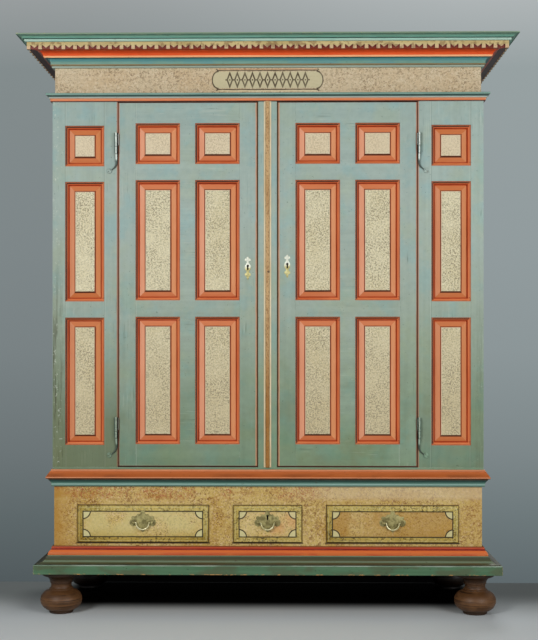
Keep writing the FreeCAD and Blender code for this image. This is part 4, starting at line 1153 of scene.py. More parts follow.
@dataclass(frozen=True)
class Cartouche:
    """Line-drawn frame in the middle of the frieze, with a row of lozenges and dots inside."""

    middle: float = 1977.5 * MM
    half_height: float = 35.5 * MM
    half_length: float = 186.0 * MM
    bulge: float = 24.0 * MM
    bulge_half: float = 32.0 * MM
    neck: float = 5.0 * MM
    stroke: float = 2.1 * MM
    soft: float = 0.35 * MM
    knot: float = 3.0 * MM
    lozenge_pitch: float = 28.0 * MM
    lozenge_half_width: float = 9.5 * MM
    lozenge_half_height: float = 25.0 * MM
    row_half: float = 157.0 * MM
    dot: float = 3.2 * MM

    INK = srgb(62, 46, 26)
    FIELD = srgb(192, 184, 148)
    LINE_ABOVE = srgb(206, 138, 92)
    LINE_BELOW = srgb(226, 210, 164)

    def apply(self, graph: Graph, ground: Socket) -> Socket:
        """Draw the cartouche over the frieze's ground colour.

        Args:
            graph: the frieze's graph.
            ground: colour under the cartouche.

        Returns:
            The colour with the cartouche on it.
        """
        sway = graph.sway(-1.2 * MM, 1.2 * MM, graph.place, 24.0, 2.0)
        across = graph.plus(graph.aside, sway)
        rise = graph.plus(graph.less(graph.z, self.middle), sway)
        height = graph.math("ABSOLUTE", rise)
        on_front = graph.ease(graph.y, FRIEZE_Y + 1.0 * MM, FRIEZE_Y + 0.5 * MM)
        box = graph.most(graph.less(across, self.half_length), graph.less(height, self.half_height))
        root = self.half_length - self.neck
        past = graph.math("DIVIDE", graph.less(across, root), self.bulge)
        up = graph.math("DIVIDE", height, self.bulge_half)
        bow = graph.times(graph.less(graph.length(past, up), 1.0), self.bulge)
        beyond = graph.ease(across, root - 0.5 * MM, root + 0.5 * MM)
        inside = graph.most(graph.ease(graph.plus(box, self.neck), 0.3 * MM, -0.3 * MM),
                            graph.ease(bow, 0.3 * MM, -0.3 * MM))
        colour = graph.coat(ground, self.FIELD, inside, on_front, 0.85)
        frame_line = graph.times(graph.stroke(graph.gap(height, self.half_height), self.stroke, self.soft),
                                 graph.ease(across, self.half_length + 3 * MM, self.half_length + 1 * MM))
        bow_line = graph.times(graph.stroke(graph.math("ABSOLUTE", bow), self.stroke, self.soft), beyond)
        curl = graph.length(graph.less(across, self.half_length + 2 * MM),
                            graph.less(height, self.half_height + self.knot))
        knot = graph.ease(curl, self.knot, self.knot - 0.8 * MM)
        marks = graph.most(frame_line, bow_line, knot, self.row(graph, rise))
        worn = graph.sway(0.45, 1.25, graph.place, 70.0, 3.0, clamp=True)
        ruled = graph.ease(across, self.half_length, self.half_length - 6 * MM)
        top, foot = self.half_height, -self.half_height
        for low, high, line in ((top + 3 * MM, top + 6 * MM, self.LINE_ABOVE),
                                (foot - 7 * MM, foot - 3 * MM, self.LINE_BELOW)):
            colour = graph.coat(colour, line, graph.band(rise, low, high, 1 * MM), ruled, on_front, 0.6)
        return graph.coat(colour, self.INK, marks, on_front, worn)

    def row(self, graph: Graph, rise: Socket) -> Socket:
        """Lozenges, with a dot in each and one between each pair."""
        along = graph.from_nearest(graph.x, self.lozenge_pitch)
        slant = graph.plus(graph.math("DIVIDE", along, self.lozenge_half_width),
                           graph.math("DIVIDE", graph.math("ABSOLUTE", rise), self.lozenge_half_height))
        off_line = graph.times(graph.gap(slant, 1.0), self.lozenge_half_width * 0.72)
        marks = graph.stroke(off_line, self.stroke, self.soft)
        for from_dot in (along, graph.less(self.lozenge_pitch / 2, along)):
            dot = graph.ease(graph.length(from_dot, rise), self.dot, self.dot - 0.6 * MM)
            marks = graph.most(marks, dot)
        return graph.times(marks, graph.ease(graph.aside, self.row_half, self.row_half - 1 * MM))


class FriezeFinish:
    """Sponged frieze with the cartouche in its middle."""

    @staticmethod
    def material() -> Material:
        """Cream ground, marks, cartouche and bare insides."""
        graph = Graph("frieze_paint")
        colour = Cartouche().apply(graph, FRIEZE_SPONGING.tint(graph))
        return level_boards(graph, bared(graph, colour, FRIEZE_Y, 9.5 * MM), 0.45)


@dataclass(frozen=True)
class DrawerFinish:
    """Lipped drawer front: sponged field, dark stringing with quadrant corners, olive border."""

    node: str
    inset: float = 22.0 * MM
    stroke: float = 2.1 * MM
    quadrant: float = 27.0 * MM
    tone: Rgb = srgb(204, 190, 128)
    soiling: float = 0.5
    covered: float = 0.0

    SOIL = srgb(216, 196, 112)
    STRING = srgb(42, 32, 10)
    CORNER = srgb(208, 202, 150)
    LIP = srgb(210, 198, 146)
    # The next two colours: dark lip lines, partly an outline and partly painted shade, and the painted
    # shadow under the lip.
    LINE = srgb(104, 80, 36)
    UNDER = srgb(36, 22, 10)

    def material(self) -> Material:
        """All painted parts of the front, and its bare back."""
        low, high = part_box(self.node)
        middle = (low + high) / 2
        half = (high - low) / 2
        graph = Graph(self.node + "_paint")
        sway = graph.sway(-0.8 * MM, 0.8 * MM, graph.place, 34.0, 2.0)
        across = graph.less(graph.gap(graph.x, middle.x), half.x - self.inset)
        rise = graph.less(graph.gap(graph.z, middle.z), half.z - self.inset)
        border = graph.plus(graph.most(across, rise), sway)
        corner = graph.plus(graph.less(graph.length(across, rise), self.quadrant), sway)
        inside = graph.ease(border, 0.3 * MM, -0.3 * MM)
        colour = graph.coat(BORDER_SPONGING.tint(graph), DRAWER_SPONGING.tint(graph), inside)
        patches = graph.patches(0.40, 0.62, graph.moved(33.0), 9.0, 3.0)
        covered = graph.ease(graph.x, middle.x - 1.6 * half.x, middle.x + 0.5 * half.x)
        patches = graph.most(patches, graph.times(covered, self.covered))
        colour = graph.coat(colour, self.tone, inside, patches, 0.62)
        soiled = graph.plus(graph.ease(graph.z, low.z + 62 * MM, low.z + 4 * MM),
                            graph.ease(graph.x, low.x + 40 * MM, low.x + 4 * MM))
        colour = graph.coat(colour, self.SOIL, soiled, self.soiling, blend="MULTIPLY")
        colour = graph.coat(colour, self.CORNER, graph.ease(corner, 0.4 * MM, -0.4 * MM), inside, 0.75)
        strength = graph.sway(0.55, 1.45, graph.place, 60.0, 3.0, clamp=True)
        rectangle = graph.stroke(graph.math("ABSOLUTE", border), self.stroke)
        arcs = graph.times(graph.stroke(graph.math("ABSOLUTE", corner), self.stroke), inside)
        colour = graph.coat(colour, self.STRING, graph.most(rectangle, arcs), strength)
        lip = graph.band(graph.most(across, rise), self.inset - 8.5 * MM, self.inset - 6.5 * MM, 0.8 * MM)
        colour = graph.coat(colour, self.LIP, lip, 0.45)
        # Dark lines on the lip's sides and top, partly an outline and partly painted shade.
        side = graph.ease(graph.math("ABSOLUTE", graph.normal_x), 0.55, 0.85)
        top = graph.ease(graph.normal_z, 0.62, 0.88)
        colour = graph.coat(colour, self.LINE, graph.most(side, top), 0.75)
        # Painted shadow: the lip's underside is near black.
        colour = graph.coat(colour, self.UNDER, graph.ease(graph.normal_z, -0.3, -0.6))
        back = graph.ease(graph.y, DRAWER_FACE_Y - 0.6 * MM, DRAWER_FACE_Y - 0.3 * MM)
        colour = graph.coat(colour, Pine.tint(graph, Run.LEVEL.place(graph)), back)
        return level_boards(graph, colour, 0.40)


def on_return(graph: Graph) -> Socket:
    """1 on what stands beyond the mitre, on the side returns, and 0 on the front."""
    out_side = graph.less(graph.aside, CASE_HALF)
    out_front = graph.less(FRONT_Y, graph.y)
    return graph.ease(graph.less(out_side, out_front), -0.3 * MM, 0.3 * MM)


class DentilFinish:
    """Cream dentil strip, soiled in patches and rubbed on its drops, with painted shade on its side returns.
    """

    CREAM = Paint(srgb(194, 172, 118), srgb(212, 196, 148), srgb(160, 134, 80))
    DROP = srgb(206, 170, 136)
    SOIL = srgb(120, 84, 48)
    RUBBED = srgb(222, 204, 162)
    DROPS_BELOW = (2.087, 2.081)

    @classmethod
    def material(cls) -> Material:
        """Cream paint with darker clouds and worn arrises."""
        graph = Graph("dentil_cream")
        colour = cls.CREAM.tint(graph, Run.LEVEL.place(graph))
        colour = graph.coat(colour, cls.DROP, graph.ease(graph.z, *cls.DROPS_BELOW), 0.75)
        soiled = graph.patches(0.50, 0.62, graph.place, 60.0, 3.0)
        colour = graph.coat(colour, cls.SOIL, soiled, 0.6)
        colour = graph.coat(colour, cls.RUBBED, graph.arris(1.6 * MM), 0.6)
        # Painted shade: the strip is darker on the side returns.
        return level_boards(graph, graph.scaled(colour, graph.between(on_return(graph), 1.0, 0.5)), 0.45)


# ---------------------------------------------------------------- wood and metal
class TurnedFinish:
    """Dark-stained turned wood, lighter brown where it swells, partly rubbed and partly a painted highlight.
    """

    BODY = srgb(86, 56, 30)
    RUBBED = srgb(126, 88, 54)
    DEEP = srgb(30, 18, 10)

    @classmethod
    def material(cls) -> Material:
        """Rings of the turning tool over long grain."""
        graph = Graph("turned_stain")
        rings = graph.noise(graph.stretched((5.0, 5.0, 260.0)), 1.0, 5.0, 0.65)
        blotch = graph.noise(graph.stretched((1.0, 1.0, 2.0)), 18.0, 4.0)
        colour = graph.coat(cls.BODY, cls.DEEP, graph.ease(rings, 0.48, 0.7))
        colour = graph.coat(colour, cls.RUBBED, graph.ease(blotch, 0.46, 0.7), 0.4)
        # The lighter band round the swell is partly rubbed wood and partly a painted highlight.
        belly = graph.band(graph.z, 36 * MM, 62 * MM, 14 * MM)
        colour = graph.coat(colour, cls.RUBBED, belly, graph.ease(rings, 0.56, 0.4), 0.6)
        ends = graph.most(graph.ease(graph.z, 16 * MM, 6 * MM), graph.ease(graph.z, 96 * MM, 128 * MM))
        colour = graph.coat(colour, cls.DEEP, ends, 0.75)
        # Painted shadow: the back feet turn near black on their forward-facing sides.
        back_feet_shadow = graph.times(graph.ease(graph.y, 0.0, 0.05), graph.ease(graph.normal_y, 0.45, -0.05))
        colour = graph.scaled(colour, graph.between(back_feet_shadow, 1.0, 0.07))
        return graph.grained(colour, rings, 0.32, 0.6 * MM, 0.3, ease_radius=0.6 * MM)


@dataclass(frozen=True)
class MetalFinish:
    """Old metal: bright where handled, dull elsewhere, darker in pits."""

    name: str
    bright: Rgb
    dull: Rgb
    pit: Rgb
    metallic: float
    rough: float = 0.38
    # From which height the metal takes a painted highlight, and the highlight's colour.
    highlight_above: Optional[float] = None
    highlight_colour: Rgb = srgb(230, 234, 222)
    rim: Optional[Rgb] = None

    def material(self) -> Material:
        """Clouded, pitted metal, lighter above a given height as a painted highlight."""
        graph = Graph(self.name)
        clouds = graph.noise(graph.place, 70.0, 4.0, 0.6)
        pits = graph.patches(0.60, 0.72, graph.moved(3.0), 420.0, 2.0)
        colour = graph.coat(self.bright, self.dull, graph.ease(clouds, 0.36, 0.64))
        # Painted highlight: above the given height the metal turns pale.
        if self.highlight_above is not None:
            rubbed = graph.ease(graph.z, self.highlight_above - 8 * MM, self.highlight_above + 6 * MM)
            colour = graph.coat(colour, self.highlight_colour, rubbed, 0.85)
        colour = graph.coat(colour, self.pit, pits, 0.6)
        # The arrises take the rim colour where one is given: on the pull plates a dark rim, partly dark
        # metal and partly painted shadow round the plate.
        edge = graph.arris(0.8 * MM if self.rim is None else 1.8 * MM)
        colour = graph.coat(colour, self.rim or self.bright, edge, 0.7)
        return graph.grained(colour, clouds, self.rough - 0.1, 0.15 * MM, 0.3, ease_radius=0.4 * MM,
                             metallic=self.metallic, specular=0.5)


class PaintedIron:
    """Forged iron painted over with the case's blue-green, with a painted highlight along its ridge and
    painted shade on its inward side.
    """

    SHADE = srgb(34, 24, 16)
    RIM = srgb(58, 88, 82)
    # The rim colour is painted shade on the barrel's outer flank, and the crest colour a painted highlight.
    CREST_HIGHLIGHT = srgb(226, 234, 224)
    RUST = srgb(96, 62, 40)
    TAIL = srgb(44, 54, 46)
    BEYOND_TAIL = DOOR_OUTER + 24 * MM

    @classmethod
    def material(cls) -> Material:
        """Painted shade on the outer rim, a painted highlight on the ridge, painted shade on the inner
        flank, underneath and along the arrises, a dark tail and a pale leaf.
        """
        graph = Graph("painted_iron")
        run = graph.stretched((260.0, 260.0, 30.0))
        colour = TealPaint.tint(graph, run)
        lumps = graph.noise(graph.place, 160.0, 3.0)
        colour = graph.coat(colour, cls.RUST, graph.ease(lumps, 0.56, 0.68), 0.35)
        side = graph.times(graph.normal_x, graph.math("SIGN", graph.x))
        raised = graph.ease(graph.y, FRONT_Y - 5.5 * MM, FRONT_Y - 7.5 * MM)
        # Painted shade on the barrel's outer flank.
        colour = graph.coat(colour, cls.RIM, graph.ease(side, 0.34, 0.6), raised, 0.85)
        # Painted highlight along the barrel's ridge, strongest on the upper hinges.
        crest = graph.times(graph.ease(side, -0.42, -0.20), graph.ease(side, 0.40, 0.18))
        worn = graph.between(graph.ease(graph.z, 0.9, 1.5), 0.2, 0.95)
        colour = graph.coat(colour, cls.CREST_HIGHLIGHT, crest, raised, worn)
        on_leaf = graph.ease(graph.aside, cls.BEYOND_TAIL, cls.BEYOND_TAIL + 2 * MM)
        tail = graph.times(graph.less(1.0, raised), graph.less(1.0, on_leaf), graph.ease(side, 0.8, 0.4))
        colour = graph.coat(colour, cls.TAIL, tail, 0.85)
        # Painted shade on the inner flank, underneath and along the arrises.
        flank = graph.most(graph.ease(side, -0.34, -0.56), graph.ease(graph.normal_z, -0.4, -0.8))
        hidden = graph.most(flank, graph.times(graph.arris(0.9 * MM), 0.75))
        colour = graph.coat(colour, cls.SHADE, hidden)
        return graph.grained(colour, lumps, 0.32, 0.5 * MM, 0.3, ease_radius=0.4 * MM)


# ---------------------------------------------------------------- mouldings
@dataclass(frozen=True)
class MemberFinish:
    """One painted member of a moulding, brushed along its run."""

    name: str
    paint: Paint
    rubbed: Rgb = PALE_WOOD
    rubbing: float = 0.35
    flaking: float = 0.25
    flake: Rgb = DARK_WOOD
    second: Optional[Rgb] = None
    # upper: colour towards the member's top, on some members a second paint, on some painted shade and on
    # some painted light; lit: a painted highlight line at lit_at of the member's height.
    upper: Optional[Rgb] = None
    lit: Optional[Rgb] = None
    lit_at: float = 0.5
    chip: Optional[Rgb] = None
    return_shade: float = 1.0

    def material(self, low: float, high: float) -> Material:
        """Brushed colour with rubbed arrises, flakes, chips and patches of a second colour.

        Args:
            low: height of the member's lower end.
            high: height of its upper end.

        Returns:
            The member's material.
        """
        graph = Graph(self.name)
        run = Run.LEVEL.place(graph)
        shift = sum(ord(letter) for letter in self.name) * 0.13
        share = graph.math("DIVIDE", graph.less(graph.z, low), max(high - low, 0.1 * MM))
        colour = self.paint.tint(graph, run, shift)
        if self.second is not None:
            patches = graph.patches(0.45, 0.60, graph.stretched((1.0, 1.0, 3.0), shift), 7.0, 4.0)
            colour = graph.coat(colour, self.second, patches, 0.75)
        # Towards the member's top: a second paint on some members, painted shade on some and painted light
        # on others.
        if self.upper is not None:
            colour = graph.coat(colour, self.upper, graph.ease(share, 0.3, 0.8))
        # Painted highlight: a pale line along the member.
        if self.lit is not None:
            strength = graph.sway(0.35, 1.15, run, 0.8, 3.0, clamp=True)
            line = graph.ease(graph.gap(share, self.lit_at), 0.20, 0.04)
            colour = graph.coat(colour, self.lit, line, strength)
        worn = graph.patches(0.42, 0.62, graph.moved(shift), 30.0, 4.0, 0.65)
        colour = graph.coat(colour, self.rubbed, graph.arris(1.8 * MM), worn, self.rubbing)
        flakes = graph.noise(graph.stretched((1.0, 1.0, 2.4), shift), 55.0, 4.0, 0.7)
        colour = graph.coat(colour, self.flake, graph.ease(flakes, 0.64, 0.69), self.flaking * 2.0)
        if self.chip is not None:
            spots = graph.patches(0.54, 0.60, graph.stretched((1.0, 1.0, 2.0), shift + 3.0), 38.0, 5.0, 0.7)
            colour = graph.coat(colour, self.chip, spots, graph.ease(share, 0.16, 0.06))
        if self.return_shade < 1.0:
            colour = graph.scaled(colour, graph.between(on_return(graph), 1.0, self.return_shade))
        return graph.brushed(colour, run, 0.36, ease_radius=0.7 * MM)


@dataclass(frozen=True)
class Member:
    """A stretch of a moulding's profile that carries one colour."""

    finish: MemberFinish
    steps: Tuple[Step, ...]


def member(name: str, body: Tuple[int, int, int], *steps: Step, **wear) -> Member:
    """A member from its name, its colour and its steps."""
    return Member(MemberFinish(name, paint(body), **wear), steps)


@dataclass(frozen=True)
class Moulding:
    """A moulding in three mitred runs: across the front and down both sides.

    Profile points are (stand-out, height) in millimetres, the stand-out from the case.
    """

    node: str
    start: Point
    members: Tuple[Member, ...]
    hidden: Tuple[Step, ...] = ()
    count: int = 8
    wear: float = 0.45 * MM
    overrun: float = 130 * MM

    def profile(self) -> Tuple[List[Point], List[int]]:
        """Points of the closed profile, and the member that each stretch belongs to."""
        points: List[Point] = [self.start]
        owners: List[int] = []
        stretches = [one.steps for one in self.members] + [self.hidden]
        for index, steps in enumerate(stretches):
            traced = trace([points[-1], *steps], self.count)[1:]
            points.extend(traced)
            owners.extend([index] * len(traced))
        owners.append(len(self.members))
        return points, owners

    def materials(self) -> List[Material]:
        """The members' materials, in order."""
        points, owners = self.profile()
        made = []
        for index, one in enumerate(self.members):
            heights = [z * MM for at, owner in enumerate(owners) if owner == index
                       for z in (points[at][1], points[at + 1][1])]
            made.append(one.finish.material(min(heights), max(heights)))
        return made

    def run(self, place: Callable[[float, float], Vector], travel: Vector) -> BMesh:
        """Draw the profile along a straight run, with square ends.

        Args:
            place: puts a (stand-out, height) point, in metres, in space.
            travel: from one end to the other.

        Returns:
            A closed bmesh whose faces carry their member's index.
        """
        bm = bmesh.new()
        points, owners = self.profile()
        verts = [bm.verts.new(place(out * MM, z * MM)) for out, z in points]
        ring = [bm.edges.new(pair) for pair in zip(verts, verts[1:] + verts[:1])]
        owner_of: Dict[bmesh.types.BMEdge, int] = dict(zip(ring, owners))
        made = bmesh.ops.extrude_edge_only(bm, edges=ring)["geom"]
        moved = [item for item in made if isinstance(item, bmesh.types.BMVert)]
        bmesh.ops.translate(bm, verts=moved, vec=travel)
        for face in bm.faces:
            face.material_index = next(owner_of[edge] for edge in face.edges if edge in owner_of)
        return bm

    @staticmethod
    def mitre(bm: BMesh, point: Vector, away: Vector) -> None:
        """Cut off everything beyond a plane."""
        everything = list(bm.verts) + list(bm.edges) + list(bm.faces)
        bmesh.ops.bisect_plane(bm, geom=everything, plane_co=point, plane_no=away, clear_outer=True)

    def close(self, bm: BMesh, name: str, materials: Sequence[Material]) -> None:
        """Cap a cut run and make it a piece with eased arrises."""
        rims = [edge for edge in bm.edges if edge.is_boundary]
        caps = bmesh.ops.holes_fill(bm, edges=rims)["faces"]
        for cap in caps:
            cap.material_index = len(self.members)
        seat = Seat("case", "moulding_paint", (self.node,))
        piece = place_piece(bm, name, materials, seat)
        easing = piece.modifiers.new("eased_arrises", "BEVEL")
        easing.width = self.wear
        easing.segments = 2
        easing.limit_method = "ANGLE"
        easing.angle_limit = math.radians(34.0)
        easing.harden_normals = True

    def build(self, bare: Material) -> None:
        """Make the three runs."""
        materials = self.materials() + [bare]
        reach = CASE_HALF + self.overrun
        corner = Vector((CASE_HALF, FRONT_Y, 0.0))
        front = self.run(lambda out, z: Vector((-reach, FRONT_Y - out, z)), Vector((2 * reach, 0, 0)))
        self.mitre(front, corner, Vector((1, 1, 0)))
        self.mitre(front, Vector((-CASE_HALF, FRONT_Y, 0.0)), Vector((-1, 1, 0)))
        self.close(front, self.node + "_front", materials)
        for side in Side:
            start_y = FRONT_Y - self.overrun
            run = self.run(lambda out, z: Vector((CASE_HALF + out, start_y, z)),
                           Vector((0, BACK_Y - start_y, 0)))
            self.mitre(run, corner, Vector((-1, -1, 0)))
            bmesh.ops.transform(run, matrix=side.turn, verts=run.verts)
            self.close(run, f"{self.node}_{side.word}", materials)


BASE = Moulding("base_moulding", (0, 155), (
    member("base_underside", (40, 32, 22), (58, 155), flaking=0.1),
    member("base_band", (76, 110, 80), (60, 157), (60, 187), second=srgb(80, 88, 62), rubbing=0.7,
           flaking=0.45, flake=srgb(50, 56, 38), chip=srgb(206, 150, 84)),
    # The band's pale top edge is partly rubbed paint and partly a painted highlight; the quirk's near black
    # and the cove's dark upper half are painted shade, and the cove's pale line is a painted highlight.
    member("base_band_edge", (108, 130, 108), Bend((59.2, 189.4), (57, 190)), (55, 190), flaking=0.3,
           second=srgb(160, 176, 160), return_shade=0.5),
    member("base_quirk", (42, 46, 34), (55, 193)),
    member("base_cove", (80, 83, 54), Bend((31, 198), (18.5, 215)), (15.5, 215),
           second=srgb(88, 74, 42), upper=srgb(58, 62, 40), flaking=0.35, lit=srgb(118, 136, 112),
           lit_at=0.3, return_shade=0.5),
    member("base_fillet", (104, 124, 98), (15.5, 219), return_shade=0.5),
    member("base_ovolo", (184, 78, 28), Bend((12.5, 230), (6, 237)), second=srgb(196, 102, 36),
           upper=srgb(216, 108, 50), flaking=0.15),
    member("base_line", (134, 30, 12), (6, 240), (3.5, 240), (3.5, 243), flaking=0.1),
    member("base_top", (178, 66, 28), Bend((2.4, 249), (0, 252)), upper=srgb(124, 60, 16),
           flaking=0.15),
))
WAIST = Moulding("waist_moulding", (0, 472), (
    member("waist_foot", (84, 108, 92), (4, 472), (4, 476)),
    # The cove's dark upper half is painted shade and its pale line a painted highlight, the strip under the
    # lip is painted shadow, and the lip is dark below and pale above as painted shade and light.
    member("waist_cove", (88, 126, 112), Bend((6.4, 488), (14, 497)), upper=srgb(42, 74, 68),
           lit=srgb(146, 176, 166), lit_at=0.22),
    member("waist_lip_under", (50, 34, 20), (14, 500), (20, 502)),
    member("waist_lip", (120, 66, 32), Bend((22.6, 505), (22, 508)), upper=srgb(210, 136, 94)),
    member("waist_slope", (172, 88, 34), Bend((17.5, 515), (9, 526)), (9, 529), second=srgb(138, 70, 26),
           upper=srgb(186, 98, 46), flaking=0.3, flake=srgb(104, 50, 20)),
    member("waist_top", (206, 130, 88), (5, 530), (5, 535), (0, 535), flaking=0.15),
))
ARCHITRAVE = Moulding("architrave_moulding", (0, 1896), (
    # Painted shadow: a dark strip under the fascia.
    member("architrave_under", (92, 36, 20), (7, 1896), (7, 1898.2), flaking=0.1),
    member("architrave_fascia", (206, 116, 68), (7, 1904), (10, 1907), flaking=0.1,
           upper=srgb(214, 138, 96)),
    member("architrave_fillet", (176, 160, 134), (12, 1907)),
    member("architrave_cove", (160, 168, 158), Bend((13.6, 1912.5), (18, 1916)), upper=srgb(46, 78, 72)),
    # Painted shade: a dark line under the bead.
    member("architrave_line", (50, 80, 74), (18, 1918), (20.5, 1918)),
    member("architrave_bead", (124, 158, 146), Bend((22.4, 1921.5), (20.5, 1925)), (0, 1929),
           upper=srgb(86, 118, 104)),
))
BED = Moulding("bed_moulding", (-8, 2022), (
    member("bed_bead", (156, 170, 156), (-2, 2022), Bend((3, 2025.5), (1, 2029)), upper=srgb(140, 156, 142)),
    member("bed_fillet", (132, 112, 74), (6, 2030), (6, 2034)),
    member("bed_cove", (108, 146, 132), Bend((7.6, 2045), (14.7, 2053)), upper=srgb(80, 133, 134),
           second=srgb(91, 140, 141)),
    member("bed_shade", (50, 92, 92), (26, 2054)),
    member("bed_line", (236, 170, 120), (29, 2060), return_shade=0.6),
    member("bed_hollow", (222, 84, 28), Bend((34.5, 2069.5), (48, 2075)), upper=srgb(212, 72, 22),
           flaking=0.1, return_shade=0.6),
), ((-8, 2075),))
CORNICE = Moulding("cornice_moulding", (16, 2075), (
    member("cornice_soffit", (170, 60, 28), (73, 2075), flaking=0.1, return_shade=0.12),
    member("cornice_fascia", (112, 36, 28), (73, 2099), flaking=0.1, return_shade=0.3),
    member("cornice_shade", (50, 70, 62), (82, 2099)),
    member("cornice_bead", (152, 190, 174), Bend((87, 2102.5), (87, 2107)), second=srgb(170, 194, 178)),
    # Painted shade in the quirk.
    member("cornice_quirk", (38, 76, 68), (93, 2109)),
    member("cornice_cyma", (94, 142, 124), Bend((97, 2115), (106, 2117)), second=srgb(104, 152, 138),
           upper=srgb(112, 154, 134)),
    member("cornice_step", (66, 104, 90), (108, 2117), (108, 2119), (112, 2119)),
    member("cornice_edge", (118, 140, 116), (112, 2124), flaking=0.5, flake=srgb(190, 168, 110)),
    member("cornice_top", (116, 118, 106), (68, 2124), flaking=0.4),
), ((16, 2090),))


# ---------------------------------------------------------------- feet
@dataclass(frozen=True)
class BunFoot:
    """Turned bun foot with a flared collar and a tenon."""

    node: str
    height: float = 155.0
    tenon_radius: float = 19.0
    tenon: float = 30.0

    def build(self, stain: Material) -> None:
        """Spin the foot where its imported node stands."""
        low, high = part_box(self.node)
        middle = (low + high) / 2
        profile = [
            (0, 0), (43, 0), (44.5, 2), (44.5, 9), (49, 12), Bend((77, 49), (48, 84)), (44, 87), (44, 90),
            (39.5, 93), Bend((38, 100), (38.5, 110)), (41.5, 112), (41.5, 116),
            Bend((47.5, 129), (64, 138)), Bend((70.5, 142), (72, 150)), (72, self.height),
            (self.tenon_radius, self.height), (self.tenon_radius, self.height + self.tenon),
            (0, self.height + self.tenon),
        ]
        bm = bmesh.new()
        turned(bm, profile, upright(middle.x, middle.y, 0.0), 72, count=14)
        place_piece(bm, self.node + "_turned", [stain], Seat("case", "turned_wood", (self.node,)))


